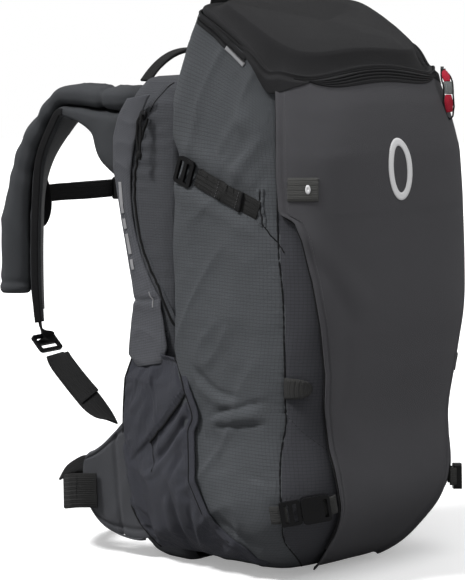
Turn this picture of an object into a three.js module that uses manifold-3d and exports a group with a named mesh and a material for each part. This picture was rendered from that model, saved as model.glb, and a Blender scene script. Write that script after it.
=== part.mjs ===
// An avalanche airbag backpack, standing upright on its base.
// Millimetres, +Z up. The front panel faces -Y, the wearer's back is on the +Y side,
// and the wearer's left is -X. The origin is on the floor, under the main bag.
import * as THREE from 'three';
import { mergeVertices } from 'three/addons/utils/BufferGeometryUtils.js';
import Module from 'manifold-3d';

const wasm = await Module();
wasm.setup();

// ---------- driving dimensions ----------

const GAP = 0.4;                 // clearance between pieces that touch
const BAG_WALL = 4;
const UNIT_WALL = 6;
const WEB = 20;                  // width of the compression, sternum and haul webbing
const WEB_THICK = 1.8;
const BELT = 38;                 // width of the hip belt webbing

// The main bag's outline at each height: half width, front face and rear face.
const BAG_WAIST_Y = -20;         // where each outline is widest
const BAG_LEVELS = [
  { z: 0, half: 56, front: -44, rear: 44 },
  { z: 12, half: 96, front: -82, rear: 46 },
  { z: 40, half: 128, front: -114, rear: 48 },
  { z: 90, half: 147, front: -144, rear: 50 },
  { z: 165, half: 144, front: -141, rear: 50 },
  { z: 235, half: 148, front: -150, rear: 50 },
  { z: 300, half: 151, front: -155, rear: 50 },
  { z: 430, half: 148, front: -148, rear: 50 },
];
// Above the last level the outlines lean back with the rim; share is the way up to the rim.
const BAG_CROWN = [
  { share: 0.4, half: 146, front: -142, rear: 53 },
  { share: 0.75, half: 142, front: -131, rear: 36 },
  { share: 1, half: 138, front: -118, rear: 18 },
];
// The rim, where the lid's zip runs: low at the front, high at the back, arched in front.
const RIM = { half: 138, front: -118, rear: 18, low: 505, rise: 92, bulge: 32, arch: 28 };
const LID_CROWN = 17;            // how far the lid stands above the rim

// The harness unit behind the bag: an open tray that faces the bag.
const UNIT_FRONT = 54.5;
const UNIT_WAIST_Y = 80;
const UNIT_LEVELS = [
  { z: 0, half: 96, rear: 106 },
  { z: 12, half: 112, rear: 118 },
  { z: 40, half: 120, rear: 126 },
  { z: 150, half: 123, rear: 130 },
  { z: 300, half: 125, rear: 132 },
  { z: 420, half: 125, rear: 146 },
  { z: 490, half: 118, rear: 150 },
  { z: 516, half: 104, rear: 138 },
];

// The airbag's burst zip is an arc in the side wall; its slider runs along it.
const BURST = { x: -133.2, y: -64, z: 406, radius: 174, slider: 26.3 };

const FAN = { z: 258, radius: 56, wheel: 46, bore: 3.2, shaft: 2.8 };

// ---------- small helpers ----------

const at = (x, y, z) => new THREE.Vector3(x, y, z);
const unit = (x, y, z) => at(x, y, z).normalize();
const radians = THREE.MathUtils.degToRad;
const mix = THREE.MathUtils.lerp;

function solidFrom(points, faces) {
  const geometry = new THREE.BufferGeometry();
  const flat = points.flatMap((p) => [p.x, p.y, p.z]);
  geometry.setAttribute('position', new THREE.Float32BufferAttribute(flat, 3));
  geometry.setIndex(faces);
  return geometry;
}

// A closed solid through rings of equal length. Rings run counter-clockwise seen from the end.
function loft(rings) {
  const count = rings[0].length;
  const points = rings.flat();
  const centre = (ring) => ring.reduce((sum, p) => sum.add(p), at(0, 0, 0)).divideScalar(count);
  const first = points.push(centre(rings[0])) - 1;
  const last = points.push(centre(rings.at(-1))) - 1;
  const top = (rings.length - 1) * count;
  const faces = [];
  for (let i = 0; i < count; i++) {
    const j = (i + 1) % count;
    faces.push(first, j, i, last, top + i, top + j);
    for (let base = 0; base < top; base += count) {
      const up = base + count;
      faces.push(base + i, base + j, up + j, base + i, up + j, up + i);
    }
  }
  return solidFrom(points, faces);
}

// A closed plate between two grids of points, rows by columns, outer grid first.
function plate(outer, inner) {
  const rows = outer.length;
  const columns = outer[0].length;
  const points = [...outer.flat(), ...inner.flat()];
  const below = rows * columns;
  const index = (r, c) => r * columns + c;
  const faces = [];
  const quad = (a, b, c, d) => faces.push(a, b, c, a, c, d);
  for (let r = 0; r + 1 < rows; r++) {
    for (let c = 0; c + 1 < columns; c++) {
      const corners = [index(r, c), index(r, c + 1), index(r + 1, c + 1), index(r + 1, c)];
      quad(...corners);
      quad(...corners.map((k) => k + below).reverse());
    }
    const low = index(r, columns - 1);
    const high = index(r + 1, columns - 1);
    quad(low, low + below, high + below, high);
    quad(index(r, 0), index(r + 1, 0), index(r + 1, 0) + below, index(r, 0) + below);
  }
  for (let c = 0; c + 1 < columns; c++) {
    quad(index(0, c), index(0, c) + below, index(0, c + 1) + below, index(0, c + 1));
    const end = index(rows - 1, c);
    quad(end, end + 1, end + 1 + below, end + below);
  }
  return solidFrom(points, faces);
}

// A strip along a route of stops: { p, out, width, thick }. Its broad face looks along out.
// A stop can also set along, the direction its cross-section is square to.
function strip(stops, corners = 4) {
  const rings = stops.map((stop, i) => {
    const before = stops[Math.max(i - 1, 0)].p;
    const after = stops[Math.min(i + 1, stops.length - 1)].p;
    const along = stop.along ?? after.clone().sub(before).normalize();
    const across = along.clone().cross(stop.out).normalize();
    const face = across.clone().cross(along).normalize();
    return section(stop.p, across, face, stop.width, stop.thick, corners);
  });
  return loft(rings);
}

// One cross-section: a rectangle for 4 corners, a rounded pad for more.
function section(centre, across, face, width, thick, corners) {
  const power = corners === 4 ? 0 : 0.55;
  const start = Math.PI / corners;
  const ring = [];
  for (let i = 0; i < corners; i++) {
    const angle = start + (i * 2 * Math.PI) / corners;
    const u = Math.sign(Math.cos(angle)) * Math.abs(Math.cos(angle)) ** power;
    const v = Math.sign(Math.sin(angle)) * Math.abs(Math.sin(angle)) ** power;
    const p = centre.clone().addScaledVector(face, (u * thick) / 2);
    ring.push(p.addScaledVector(across, (v * width) / 2));
  }
  return ring;
}

function box(width, depth, height, x = 0, y = 0, z = 0) {
  return new THREE.BoxGeometry(width, depth, height).translate(x, y, z);
}

// A flat shape drawn in X and Z, given a depth along Y and centred on it.
function slabXZ(shape, depth) {
  const geometry = new THREE.ExtrudeGeometry(shape, { depth, bevelEnabled: false, curveSegments: 2 });
  return geometry.rotateX(Math.PI / 2).translate(0, depth / 2, 0);
}

function roundedRect(width, height, radius, x = 0, z = 0) {
  const shape = new THREE.Shape();
  const w = width / 2 - radius;
  const h = height / 2 - radius;
  shape.absarc(x + w, z + h, radius, 0, Math.PI / 2);
  shape.absarc(x - w, z + h, radius, Math.PI / 2, Math.PI);
  shape.absarc(x - w, z - h, radius, Math.PI, 1.5 * Math.PI);
  shape.absarc(x + w, z - h, radius, 1.5 * Math.PI, 2 * Math.PI);
  return shape;
}

function manifold(geometry) {
  const bare = geometry.clone();
  bare.deleteAttribute('normal');
  bare.deleteAttribute('uv');
  const merged = mergeVertices(bare, 1e-4);
  return new wasm.Manifold(new wasm.Mesh({
    numProp: 3,
    vertProperties: new Float32Array(merged.attributes.position.array),
    triVerts: new Uint32Array(merged.index.array),
  }));
}

function fromManifold(solid) {
  const mesh = solid.getMesh();
  const geometry = new THREE.BufferGeometry();
  geometry.setAttribute('position', new THREE.BufferAttribute(mesh.vertProperties, 3));
  geometry.setIndex(new THREE.BufferAttribute(mesh.triVerts, 1));
  return geometry;
}

const cut = (body, ...tools) => fromManifold(
  tools.reduce((left, tool) => left.subtract(manifold(tool)), manifold(body)));

const join = (body, ...others) => fromManifold(
  others.reduce((sum, other) => sum.add(manifold(other)), manifold(body)));

function mirrored(geometry) {
  const copy = geometry.clone().scale(-1, 1, 1);
  const faces = Array.from(copy.index ? copy.index.array : copy.attributes.position.array.keys());
  if (!copy.index) faces.length = copy.attributes.position.count;
  for (let i = 0; i < faces.length; i += 3) {
    [faces[i], faces[i + 1]] = [faces[i + 1], faces[i]];
  }
  copy.setIndex(faces);
  return copy;
}

// Puts a solid built around its own origin at a place, turned so that its X, Y and Z
// lie along right, ahead and up.
function placed(geometry, place, right, up) {
  const ahead = up.clone().cross(right).normalize();
  const square = right.clone().cross(ahead).normalize();
  return geometry.applyMatrix4(new THREE.Matrix4().makeBasis(right, ahead, square).setPosition(place));
}

// ---------- materials ----------

const finish = (color, roughness, metalness = 0) => () =>
  new THREE.MeshStandardMaterial({ color, roughness, metalness, side: THREE.DoubleSide });

const ripstop = finish('#3b4043', 0.75);
const softshell = finish('#35343a', 0.8);
const lidCloth = finish('#222226', 0.7);
const thinNylon = finish('#30343c', 0.55);
const padCloth = finish('#33373b', 0.85);
const webbing = finish('#1d1e1f', 0.8);
const acetal = finish('#17181a', 0.45);
const zipMetal = finish('#6d7074', 0.35, 0.8);
const redCord = finish('#b5142c', 0.6);
const foam = finish('#2a2c2f', 0.9);
const sheetPlastic = finish('#1b1d20', 0.5);
const aluminium = finish('#a9acb0', 0.35, 0.9);
const airbagCloth = finish('#c9441f', 0.7);
const lens = finish('#4fd06a', 0.2);

const pack = new THREE.Group();

function add(name, geometry, material) {
  const mesh = new THREE.Mesh(geometry, material());
  mesh.name = name;
  pack.add(mesh);
}

function addPair(name, leftGeometry, material) {
  add(`${name}_left`, leftGeometry, material);
  add(`${name}_right`, mirrored(leftGeometry), material);
}

// ---------- the main bag ----------

// An outline: a boxy oval with its own roundness in front of and behind the widest line.
function outline(half, front, rear, waist, rounding, count) {
  const points = [];
  for (let i = 0; i < count; i++) {
    const angle = (i * 2 * Math.PI) / count;
    const c = Math.cos(angle);
    const s = Math.sin(angle);
    const power = 2 / (s < 0 ? rounding.front : rounding.rear);
    const reach = s < 0 ? waist - front : rear - waist;
    points.push({
      x: half * Math.sign(c) * Math.abs(c) ** power,
      y: waist + reach * Math.sign(s) * Math.abs(s) ** power,
    });
  }
  return points;
}

const BAG_ROUNDING = { front: 4, rear: 6 };
const BAG_POINTS = 32;

function rimHeight(x, y) {
  const back = (y - RIM.front) / (RIM.rear - RIM.front);
  const arch = RIM.arch * (1 - (x / RIM.half) ** 2) * (1 - back) ** 2;
  return RIM.low + RIM.rise * back + RIM.bulge * back * (1 - back) + arch;
}

function bagRing(level, grow) {
  const { half, front, rear } = level;
  const flat = outline(half + grow, front - grow, rear + grow, BAG_WAIST_Y, BAG_ROUNDING, BAG_POINTS);
  const lastLevel = BAG_LEVELS.at(-1).z;
  const height = ({ x, y }) => (level.share ? mix(lastLevel, rimHeight(x, y), level.share) : level.z);
  return flat.map((p) => at(p.x, p.y, height(p)));
}

const bagRings = (grow) => [...BAG_LEVELS, ...BAG_CROWN].map((level) => bagRing(level, grow));

function mainBag() {
  const inside = bagRings(-BAG_WALL);
  inside[0].forEach((p) => { p.z = BAG_WALL; });
  return loft([...bagRings(0), ...inside.reverse()]);
}

// The lid: a padded cap that follows the rim.
function lid() {
  const ring = (size, lift) => {
    const flat = outline(RIM.half, RIM.front, RIM.rear, BAG_WAIST_Y, BAG_ROUNDING, BAG_POINTS);
    const middle = (RIM.front + RIM.rear) / 2;
    return flat.map(({ x, y }) => {
      const inX = x * size;
      const inY = mix(middle, y, size);
      return at(inX, inY, rimHeight(inX, inY) + lift);
    });
  };
  return loft([
    ring(0.9, GAP + 1),
    ring(0.99, GAP),
    ring(0.99, 6),
    ring(0.93, LID_CROWN - 4),
    ring(0.6, LID_CROWN),
  ]);
}

// The front panel: a separate sheet laid over the middle columns of the bag's front.
function frontPanel() {
  const middle = (BAG_POINTS * 3) / 4;
  const columns = [-3, -2, -1, 0, 1, 2, 3].map((step) => middle + step);
  const pick = (grow) => bagRings(grow).slice(2).map((ring) => columns.map((c) => ring[c]));
  return plate(pick(2.6), pick(0.5));
}

// Distance out to the bag's side at a height and depth, for what lies on it.
function bagSide(y, z) {
  const above = Math.max(BAG_LEVELS.findIndex((level) => level.z >= z), 1);
  const low = BAG_LEVELS[above - 1];
  const high = BAG_LEVELS[above];
  const part = (z - low.z) / (high.z - low.z);
  const half = mix(low.half, high.half, part);
  const front = mix(low.front, high.front, part);
  const ahead = Math.max((BAG_WAIST_Y - y) / (BAG_WAIST_Y - front), 0);
  return half * (1 - ahead ** BAG_ROUNDING.front) ** (1 / BAG_ROUNDING.front);
}

// ---------- the harness unit ----------

const UNIT_ROUNDING = { front: 9, rear: 4.5 };
const UNIT_POINTS = 28;

function unitRing(level, grow, z = level.z, front = UNIT_FRONT) {
  const flat = outline(level.half + grow, front, level.rear + grow, UNIT_WAIST_Y, UNIT_ROUNDING,
    UNIT_POINTS);
  return flat.map((p) => at(p.x, p.y, z));
}

function harnessUnit() {
  const outside = loft(UNIT_LEVELS.map((level) => unitRing(level, 0)));
  const last = UNIT_LEVELS.length - 1;
  const inside = UNIT_LEVELS.map((level, i) => {
    const shift = i === 0 ? UNIT_WALL : i === last ? -UNIT_WALL : 0;
    return unitRing(level, -UNIT_WALL, level.z + shift, UNIT_FRONT - 20);
  });
  return cut(outside, loft(inside));
}

// A value of the unit's levels at any height.
function unitAt(z, key) {
  const above = Math.max(UNIT_LEVELS.findIndex((level) => level.z >= z), 1);
  const low = UNIT_LEVELS[above - 1];
  const high = UNIT_LEVELS[above];
  return mix(low[key], high[key], (z - low.z) / (high.z - low.z));
}

// A back pad: a rounded cushion that follows the unit's rear face.
function backPad(x, width, heights, thick) {
  const stops = heights.map((z, i) => {
    const end = i === 0 || i === heights.length - 1;
    const bulk = end ? thick * 0.55 : thick;
    return {
      p: at(x, unitAt(z, 'rear') + 0.8 + bulk / 2, z),
      out: at(0, 1, 0),
      width: end ? width * 0.86 : width,
      thick: bulk,
    };
  });
  return strip(stops, 12);
}

// The side panel that tears away along the burst zip. Its front edge is the zip's arc.
function airbagCover() {
  const edge = BURST.radius + 6.5;
  const shape = new THREE.Shape();
  const from = Math.asin((506 - BURST.z) / edge);
  const to = Math.asin((288 - BURST.z) / edge);
  shape.absarc(BURST.y, BURST.z, edge, from, to, true);
  shape.lineTo(62, 236);
  shape.lineTo(68, 219);
  shape.lineTo(106, 211);
  shape.lineTo(121, 224);
  shape.lineTo(148, 500);
  const panel = new THREE.ExtrudeGeometry(shape, { depth: 3, bevelEnabled: false, curveSegments: 8 });
  // drawn in the Y-Z plane, thick along X
  return placed(panel, at(-132.4, 0, 0), at(0, 1, 0), at(1, 0, 0));
}

// ---------- what the harness unit holds ----------

const SHEET_Y = 113;

function airbagFolded() {
  const shape = new THREE.Shape();
  shape.moveTo(-112, 226);
  shape.lineTo(-86, 226);
  shape.lineTo(-86, 436);
  shape.lineTo(86, 436);
  shape.lineTo(86, 226);
  shape.lineTo(112, 226);
  shape.lineTo(112, 470);
  shape.lineTo(96, 500);
  shape.lineTo(-96, 500);
  shape.lineTo(-112, 470);
  return slabXZ(shape, 50).translate(0, 83, 0);
}

function disc(radius, depth, y, segments = 28) {
  return new THREE.CylinderGeometry(radius, radius, depth, segments).translate(0, y + depth / 2, FAN.z);
}

function ring(outer, inner, depth, y, segments = 28) {
  return cut(disc(outer, depth, y, segments), disc(inner, depth + 2, y - 1, segments));
}

// Rear half of the blower: a cup, open towards the bag, with a square outlet on top.
function blowerRear() {
  const outletTop = FAN.z + FAN.radius + 14;
  const shell = join(disc(FAN.radius, 27, 84), box(44, 27, 60, 0, 97.5, outletTop - 30));
  return cut(shell, disc(FAN.radius - 3, 24.5, 83.5), box(38, 21, 60, 0, 97.5, outletTop - 29));
}

function intakeGrille() {
  const bars = [-1, 0, 1].map((step) => box(3, 2.4, 52, step * 13, 77.4, FAN.z));
  return join(ring(31, 25.5, 3, 76.4, 20), ...bars);
}

function impeller() {
  const blades = [];
  const count = 9;
  for (let i = 0; i < count; i++) {
    const blade = box(34, 10, 1.6, 27, 93.5, 0);
    blades.push(blade.rotateY((i * 2 * Math.PI) / count).translate(0, 0, FAN.z));
  }
  return join(ring(FAN.wheel, FAN.bore, 2, 98.2), ring(14, FAN.bore, 10.5, 88), ...blades);
}

const DUCT = { bottom: FAN.z + FAN.radius + 14 + GAP, top: 398 };

function airDuct() {
  const height = DUCT.top - DUCT.bottom;
  const middle = (DUCT.top + DUCT.bottom) / 2;
  return cut(box(44, 27, height, 0, 97.5, middle), box(38, 21, height + 2, 0, 97.5, middle));
}

const CONTROL = { x: 0, front: 64, z: 150, button: -26 };

function controlBox() {
  const body = slabXZ(roundedRect(100, 56, 6, CONTROL.x, CONTROL.z), 28).translate(0, 78, 0);
  const well = new THREE.CylinderGeometry(7.6, 7.6, 12, 20).translate(CONTROL.button, 64, CONTROL.z);
  return cut(body, well, box(13, 6, 4.6, 22, 64, CONTROL.z));
}

// ---------- shoulder straps ----------

const STRAP_THICK = 11;
const STRAP_GAP = 2;             // the pouch bends less sharply than the strap under it

// The left strap's middle line and the way its outer face looks, from the yoke to the lower end.
const STRAP_ROUTE = [
  { p: at(-78, 151.2, 453), out: unit(0, 0, 1), along: unit(0, 1, 0), width: 66, thick: 82, pouch: 0 },
  { p: at(-86, 190, 463), out: unit(0, 0, 1), width: 66, thick: 40, pouch: 24 },
  { p: at(-90, 224, 476), out: unit(0, 0, 1), width: 64, thick: 17, pouch: 26 },
  { p: at(-93, 249, 479), out: unit(-0.1, 0.35, 0.93), width: 62, thick: STRAP_THICK, pouch: 25 },
  { p: at(-99, 267, 461), out: unit(-0.35, 0.75, 0.55), width: 61, thick: STRAP_THICK, pouch: 26 },
  { p: at(-108, 279, 428), out: unit(-0.55, 0.8, 0.2), width: 60, thick: STRAP_THICK, pouch: 29 },
  { p: at(-114, 281, 390), out: unit(-0.68, 0.73, 0), width: 58, thick: STRAP_THICK, pouch: 32 },
  { p: at(-120, 278, 340), out: unit(-0.68, 0.73, 0), width: 54, thick: STRAP_THICK, pouch: 36 },
  { p: at(-122, 276, 285), out: unit(-0.68, 0.73, 0), width: 48, thick: STRAP_THICK, pouch: 37 },
  { p: at(-123, 271, 244), out: unit(-0.68, 0.73, 0), width: 34, thick: 9, pouch: 0 },
];

const shoulderStrap = () => strip(STRAP_ROUTE, 10);

// The pouch on the strap's outer face, with a bore up its lower end for the trigger handle.
const HANDLE = { low: at(-139, 294, 286), high: at(-131.6, 296.2, 372), radius: 10 };
const HANDLE_AXIS = HANDLE.high.clone().sub(HANDLE.low).normalize();

function rod(from, length, radius, segments = 20) {
  const solid = new THREE.CylinderGeometry(radius, radius, length, segments);
  solid.applyQuaternion(new THREE.Quaternion().setFromUnitVectors(at(0, 1, 0), HANDLE_AXIS));
  const middle = from.clone().addScaledVector(HANDLE_AXIS, length / 2);
  return solid.translate(middle.x, middle.y, middle.z);
}

function strapPouch() {
  const stops = STRAP_ROUTE.filter((stop) => stop.pouch > 0).map((stop) => ({
    p: stop.p.clone().addScaledVector(stop.out, stop.thick / 2 + STRAP_GAP + stop.pouch / 2),
    out: stop.out,
    width: Math.min(stop.width, 58),
    thick: stop.pouch,
  }));
  const mouth = HANDLE.low.clone().addScaledVector(HANDLE_AXIS, -20);
  return cut(strip(stops, 10), rod(mouth, 112, HANDLE.radius + 1.2));
}

// The trigger handle: a grip with a wider stop near its top.
function triggerHandle() {
  const top = HANDLE.low.clone().addScaledVector(HANDLE_AXIS, 66);
  return join(rod(HANDLE.low, 68, HANDLE.radius - 2), rod(top, 18, HANDLE.radius));
}

// ---------- webbing and buckles ----------

// A ladder lock: a frame with three bars, X along the webbing, Z across it.
function ladderLock(width) {
  const shape = roundedRect(24, width + 9, 4);
  for (const x of [-5, 5]) {
    shape.holes.push(roundedRect(5.5, width + 1, 1, x, 0));
  }
  return slabXZ(shape, 3.5);
}

// A side-release buckle's socket, open towards -X, with a webbing slot at its far end.
function buckleSocket(width) {
  const shape = roundedRect(30, width + 8, 4, 15, 0);
  shape.holes.push(roundedRect(4, width - 1, 1, 25, 0));
  return cut(slabXZ(shape, 9), box(40, 4.8, width + 1, 0, 0, 0));
}

// The matching prongs, pointing along +X, with two webbing slots behind them.
function bucklePlug(width) {
  const body = roundedRect(22, width + 6, 3, -11, 0);
  for (const x of [-6, -15]) {
    body.holes.push(roundedRect(4, width - 1, 1, x, 0));
  }
  const prongs = [-1, 0, 1].map((side) => box(18, 3.4, 3.4, 7, 0, side * (width / 2 - 2)));
  return join(slabXZ(body, 3.4), ...prongs);
}

const flatStrip = (points, out, width, thick = WEB_THICK) =>
  strip(points.map((p) => ({ p, out, width, thick })));

// The webbing from the strap's ladder lock down to the pack's lower corner. It turns
// edge-on at both ends.
function lowerWebbing() {
  const edgeOn = unit(0.73, 0.68, 0);
  const flat = unit(0.58, -0.51, 0.63);
  const route = [
    { p: at(-125, 244, 210), across: edgeOn.clone().lerp(flat, 0.5), width: 22 },
    { p: at(-127, 229, 199), across: flat, width: 25 },
    { p: at(-130, 193, 174), across: flat, width: 25 },
    { p: at(-132, 166, 157), across: edgeOn.clone().lerp(flat, 0.55), width: 24 },
    { p: at(-134, 143, 147), across: edgeOn, width: 20 },
  ];
  return strip(route.map((stop, i) => {
    const before = route[Math.max(i - 1, 0)].p;
    const after = route[Math.min(i + 1, route.length - 1)].p;
    const along = after.clone().sub(before).normalize();
    return { p: stop.p, out: stop.across.clone().cross(along), width: stop.width, thick: WEB_THICK };
  }));
}

// The upper compression strap lies on the bag's side and runs down to the front.
function compressionStrap() {
  const points = [-6, -34, -63, -92].map((y) => {
    const z = mix(422, 391, (-4 - y) / 88);
    return at(-bagSide(y, z) - 2.2, y, z);
  });
  return flatStrip(points, at(-1, 0, 0), WEB);
}

// ---------- hip belt ----------

const WING_ROUTE = [
  { p: at(-133, 142, 84), width: 108, thick: 11 },
  { p: at(-139, 152, 83), width: 102, thick: 14 },
  { p: at(-147, 166, 80), width: 82, thick: 14 },
  { p: at(-152, 180, 78), width: 54, thick: 9 },
];

function hipWing() {
  const out = unit(-1, 0.35, 0);
  return strip(WING_ROUTE.map((stop) => ({ ...stop, out, along: unit(-0.45, 0.89, 0) })), 12);
}

function beltWebbing(end) {
  const stops = [
    { p: at(-154.5, 187, 66), out: unit(-1, 0.2, 0) },
    { p: at(-151.5, 202, 62), out: unit(-1, 0.3, 0) },
    { p: at(-138, 222, 60), out: unit(-0.8, 0.8, 0) },
    { p: at(-104, 238, 60), out: unit(-0.2, 1, 0) },
    { p: at(-66, 244, 60), out: unit(0, 1, 0) },
    { p: at(-end, 245, 60), out: unit(0, 1, 0) },
  ];
  return strip(stops.map((stop) => ({ ...stop, width: BELT, thick: WEB_THICK })));
}

// ---------- side fairing ----------

// A thin cover over the joint between the bag, the unit and the hip belt.
function sideFairing() {
  const heights = [14, 40, 95, 165, 196];
  const grid = (grow) => heights.map((z) => {
    const bag = -(bagSide(0, z) + 5 + grow);
    const rear = -(unitAt(z, 'half') + 12 + grow);
    const shares = [0, 0.25, 0.5, 0.75, 1];
    return shares.map((share) => {
      const ease = share * share * (3 - 2 * share);
      return at(mix(bag, rear, ease), mix(0, 126, share), z);
    });
  });
  return plate(grid(2.6).map((row) => row.reverse()), grid(0).map((row) => row.reverse()));
}

// ---------- haul loop ----------

const HAUL = { y: 146, base: 526, half: 66, rise: 28 };

function haulLoop() {
  const stops = [];
  const steps = 10;
  for (let i = 0; i <= steps; i++) {
    const angle = Math.PI * (1 - i / steps);
    const side = Math.cos(angle);
    const lift = Math.sin(angle);
    const out = unit(side / HAUL.half, 0, Math.max(lift, 0.05) / HAUL.rise);
    const p = at(side * HAUL.half, HAUL.y, HAUL.base + lift * HAUL.rise);
    stops.push({ p, out, width: 16, thick: 2.4 });
  }
  return strip(stops);
}

// ---------- zip sliders and pulls ----------

// A zip slider, X across the zip, Z along it, its back at Y = 0.
const zipSlider = () => slabXZ(roundedRect(8.5, 11, 3.4), 3.6).translate(0, 1.8, 0);

// A pull tab that hangs from its top edge at the origin.
const pullTab = (width, length, thick) =>
  slabXZ(roundedRect(width, length, width * 0.4, 0, -length / 2), thick);

// ---------- assembly ----------

add('main_bag', mainBag(), ripstop);
add('lid', lid(), lidCloth);
add('front_panel', frontPanel(), softshell);
add('harness_unit', harnessUnit(), ripstop);
addPair('side_fairing', sideFairing(), thinNylon);
addPair('airbag_cover', airbagCover(), ripstop);
addPair('back_pad', backPad(-58, 76, [168, 190, 240, 300, 360, 392], 13), padCloth);
add('lumbar_pad', backPad(0, 196, [36, 56, 95, 130, 150], 17), padCloth);

const sheet = slabXZ(roundedRect(196, 456, 26, 0, 262), 2.4).translate(0, SHEET_Y, 0);
add('frame_sheet', sheet, sheetPlastic);
add('frame_stay', box(22, 2.6, 430, 0, SHEET_Y + 1.2 + GAP + 1.3, 262), aluminium);
add('airbag_folded', airbagFolded(), airbagCloth);
const cell = slabXZ(roundedRect(136, 84, 8, 0, 66), 40).translate(0, 84, 0);
add('battery_pack', cell, acetal);
add('control_box', controlBox(), acetal);
const button = new THREE.CylinderGeometry(7, 7, 5, 20).translate(CONTROL.button, 64.6, CONTROL.z);
add('power_button', button, redCord);
add('status_lens', box(12.2, 2.6, 3.8, 22, 65.2, CONTROL.z), lens);
add('blower_rear_shell', blowerRear(), acetal);
add('blower_front_cover', ring(FAN.radius, 26, 3.6, 80), acetal);
add('intake_grille', intakeGrille(), acetal);
add('impeller', impeller(), sheetPlastic);
add('motor', ring(19, FAN.bore, 6.4, 101), aluminium);
add('motor_shaft', disc(FAN.shaft, 17, 90, 16), aluminium);
add('air_duct', airDuct(), sheetPlastic);
add('check_valve_flap', box(40, 24, 2, 0, 97.5, DUCT.top + GAP + 1), foam);

addPair('shoulder_strap', shoulderStrap(), padCloth);
add('trigger_pouch', strapPouch(), padCloth);
add('trigger_handle', triggerHandle(), redCord);
const strapLock = placed(ladderLock(25), at(-124, 258, 222), unit(0.05, -0.72, -0.69),
  unit(0.82, 0.42, 0.39));
addPair('strap_ladder_lock', strapLock, acetal);
addPair('lower_webbing', lowerWebbing(), webbing);

const STERNUM = { y: 294, z: 386 };
const chest = (x, y = STERNUM.y) => at(x, y, STERNUM.z);
const back = at(0, 1, 0);
add('sternum_webbing_left', flatStrip([chest(-84, 297.2), chest(36, 297.2)], back, WEB), webbing);
add('sternum_webbing_right', flatStrip([chest(69), chest(84)], back, WEB), webbing);
add('sternum_plug', placed(bucklePlug(WEB), chest(38), at(1, 0, 0), at(0, 0, 1)), acetal);
add('sternum_socket', placed(buckleSocket(WEB), chest(38.6), at(1, 0, 0), at(0, 0, 1)), acetal);

addPair('hip_wing', hipWing(), padCloth);
add('belt_webbing_left', beltWebbing(36), webbing);
add('belt_webbing_right', mirrored(beltWebbing(45)), webbing);
add('belt_plug', placed(bucklePlug(BELT), at(-12, 245, 60), at(1, 0, 0), at(0, 0, 1)), acetal);
add('belt_socket', placed(buckleSocket(BELT), at(14, 245, 60), at(1, 0, 0), at(0, 0, 1)), acetal);

add('haul_loop', haulLoop(), webbing);
addPair('compression_strap', compressionStrap(), webbing);
const sideLock = placed(ladderLock(WEB), at(-152.4, 14, 428), unit(0, -1, -0.35), unit(0, -0.35, 1));
addPair('compression_lock', sideLock, acetal);

// The lower side-release buckles lie across the bag's front corners.
const CORNER = { p: at(-129, -128, 86), right: unit(0.75, -0.66, 0.16) };
const cornerUp = unit(-0.1, 0.1, 1);
addPair('lower_plug', placed(bucklePlug(WEB), CORNER.p.clone(), CORNER.right, cornerUp), acetal);
addPair('lower_socket', placed(buckleSocket(WEB), CORNER.p.clone().addScaledVector(CORNER.right, 0.6),
  CORNER.right, cornerUp), acetal);

// A slider and the pull that hangs from it. out is the way the slider faces, up runs along the
// zip, and tilt is how far the pull leans out from the vertical.
function zipPair(name, place, out, up, pull) {
  const right = out.clone().cross(up).normalize();
  add(`${name}_slider`, placed(zipSlider(), place, right, up), zipMetal);
  const lean = radians(pull.tilt);
  const pullUp = at(0, 0, Math.cos(lean)).addScaledVector(out, -Math.sin(lean));
  const pullRight = out.clone().cross(pullUp).normalize();
  const top = place.clone().addScaledVector(out, 3.6 + GAP + pull.thick / 2).add(at(0, 0, 1));
  const tab = pullTab(pull.width, pull.length, pull.thick);
  add(`${name}_pull`, placed(tab, top, pullRight, pullUp), pull.material);
}

const CORD_PULL = { width: 9, length: 46, thick: 4, material: redCord };
zipPair('lid_front', at(121.9, -105.8, 528), unit(0.62, -0.78, 0), unit(0, 0, 1),
  { ...CORD_PULL, tilt: 22 });
zipPair('lid_side', at(142.5, -84.8, 500), unit(0.971, -0.239, 0), unit(0, 0, 1),
  { ...CORD_PULL, tilt: 20 });

const burstAngle = radians(BURST.slider);
const burstPlace = at(BURST.x, BURST.y + BURST.radius * Math.cos(burstAngle),
  BURST.z + BURST.radius * Math.sin(burstAngle));
zipPair('burst', burstPlace, at(-1, 0, 0), unit(0, -Math.sin(burstAngle), Math.cos(burstAngle)),
  { width: 7, length: 42, thick: 2, tilt: 0, material: webbing });

export default pack;
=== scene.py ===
"""The looks of an avalanche airbag backpack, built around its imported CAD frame.

Sizes are in millimetres in the CAD frame: +Z up, the front panel faces -Y and the wearer's left is -X.
"""
import math

import bmesh
import bpy
import numpy as np
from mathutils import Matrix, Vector, noise
from mathutils.bvhtree import BVHTree
from mathutils.kdtree import KDTree


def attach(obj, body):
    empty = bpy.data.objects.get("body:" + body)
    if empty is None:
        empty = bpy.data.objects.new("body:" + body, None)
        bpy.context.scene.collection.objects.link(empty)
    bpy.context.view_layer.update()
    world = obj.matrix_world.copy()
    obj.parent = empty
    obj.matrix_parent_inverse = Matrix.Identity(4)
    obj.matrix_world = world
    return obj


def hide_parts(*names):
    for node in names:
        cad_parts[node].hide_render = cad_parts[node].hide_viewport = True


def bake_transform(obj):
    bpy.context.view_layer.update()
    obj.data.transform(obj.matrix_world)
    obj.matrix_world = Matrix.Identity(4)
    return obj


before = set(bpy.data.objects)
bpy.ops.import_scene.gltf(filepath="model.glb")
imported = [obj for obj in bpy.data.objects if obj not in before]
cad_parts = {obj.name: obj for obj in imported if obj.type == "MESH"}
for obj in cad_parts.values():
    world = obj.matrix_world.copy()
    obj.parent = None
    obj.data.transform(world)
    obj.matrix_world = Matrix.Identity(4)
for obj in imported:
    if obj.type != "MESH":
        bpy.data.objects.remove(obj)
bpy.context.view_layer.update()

MM = 0.001
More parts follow.
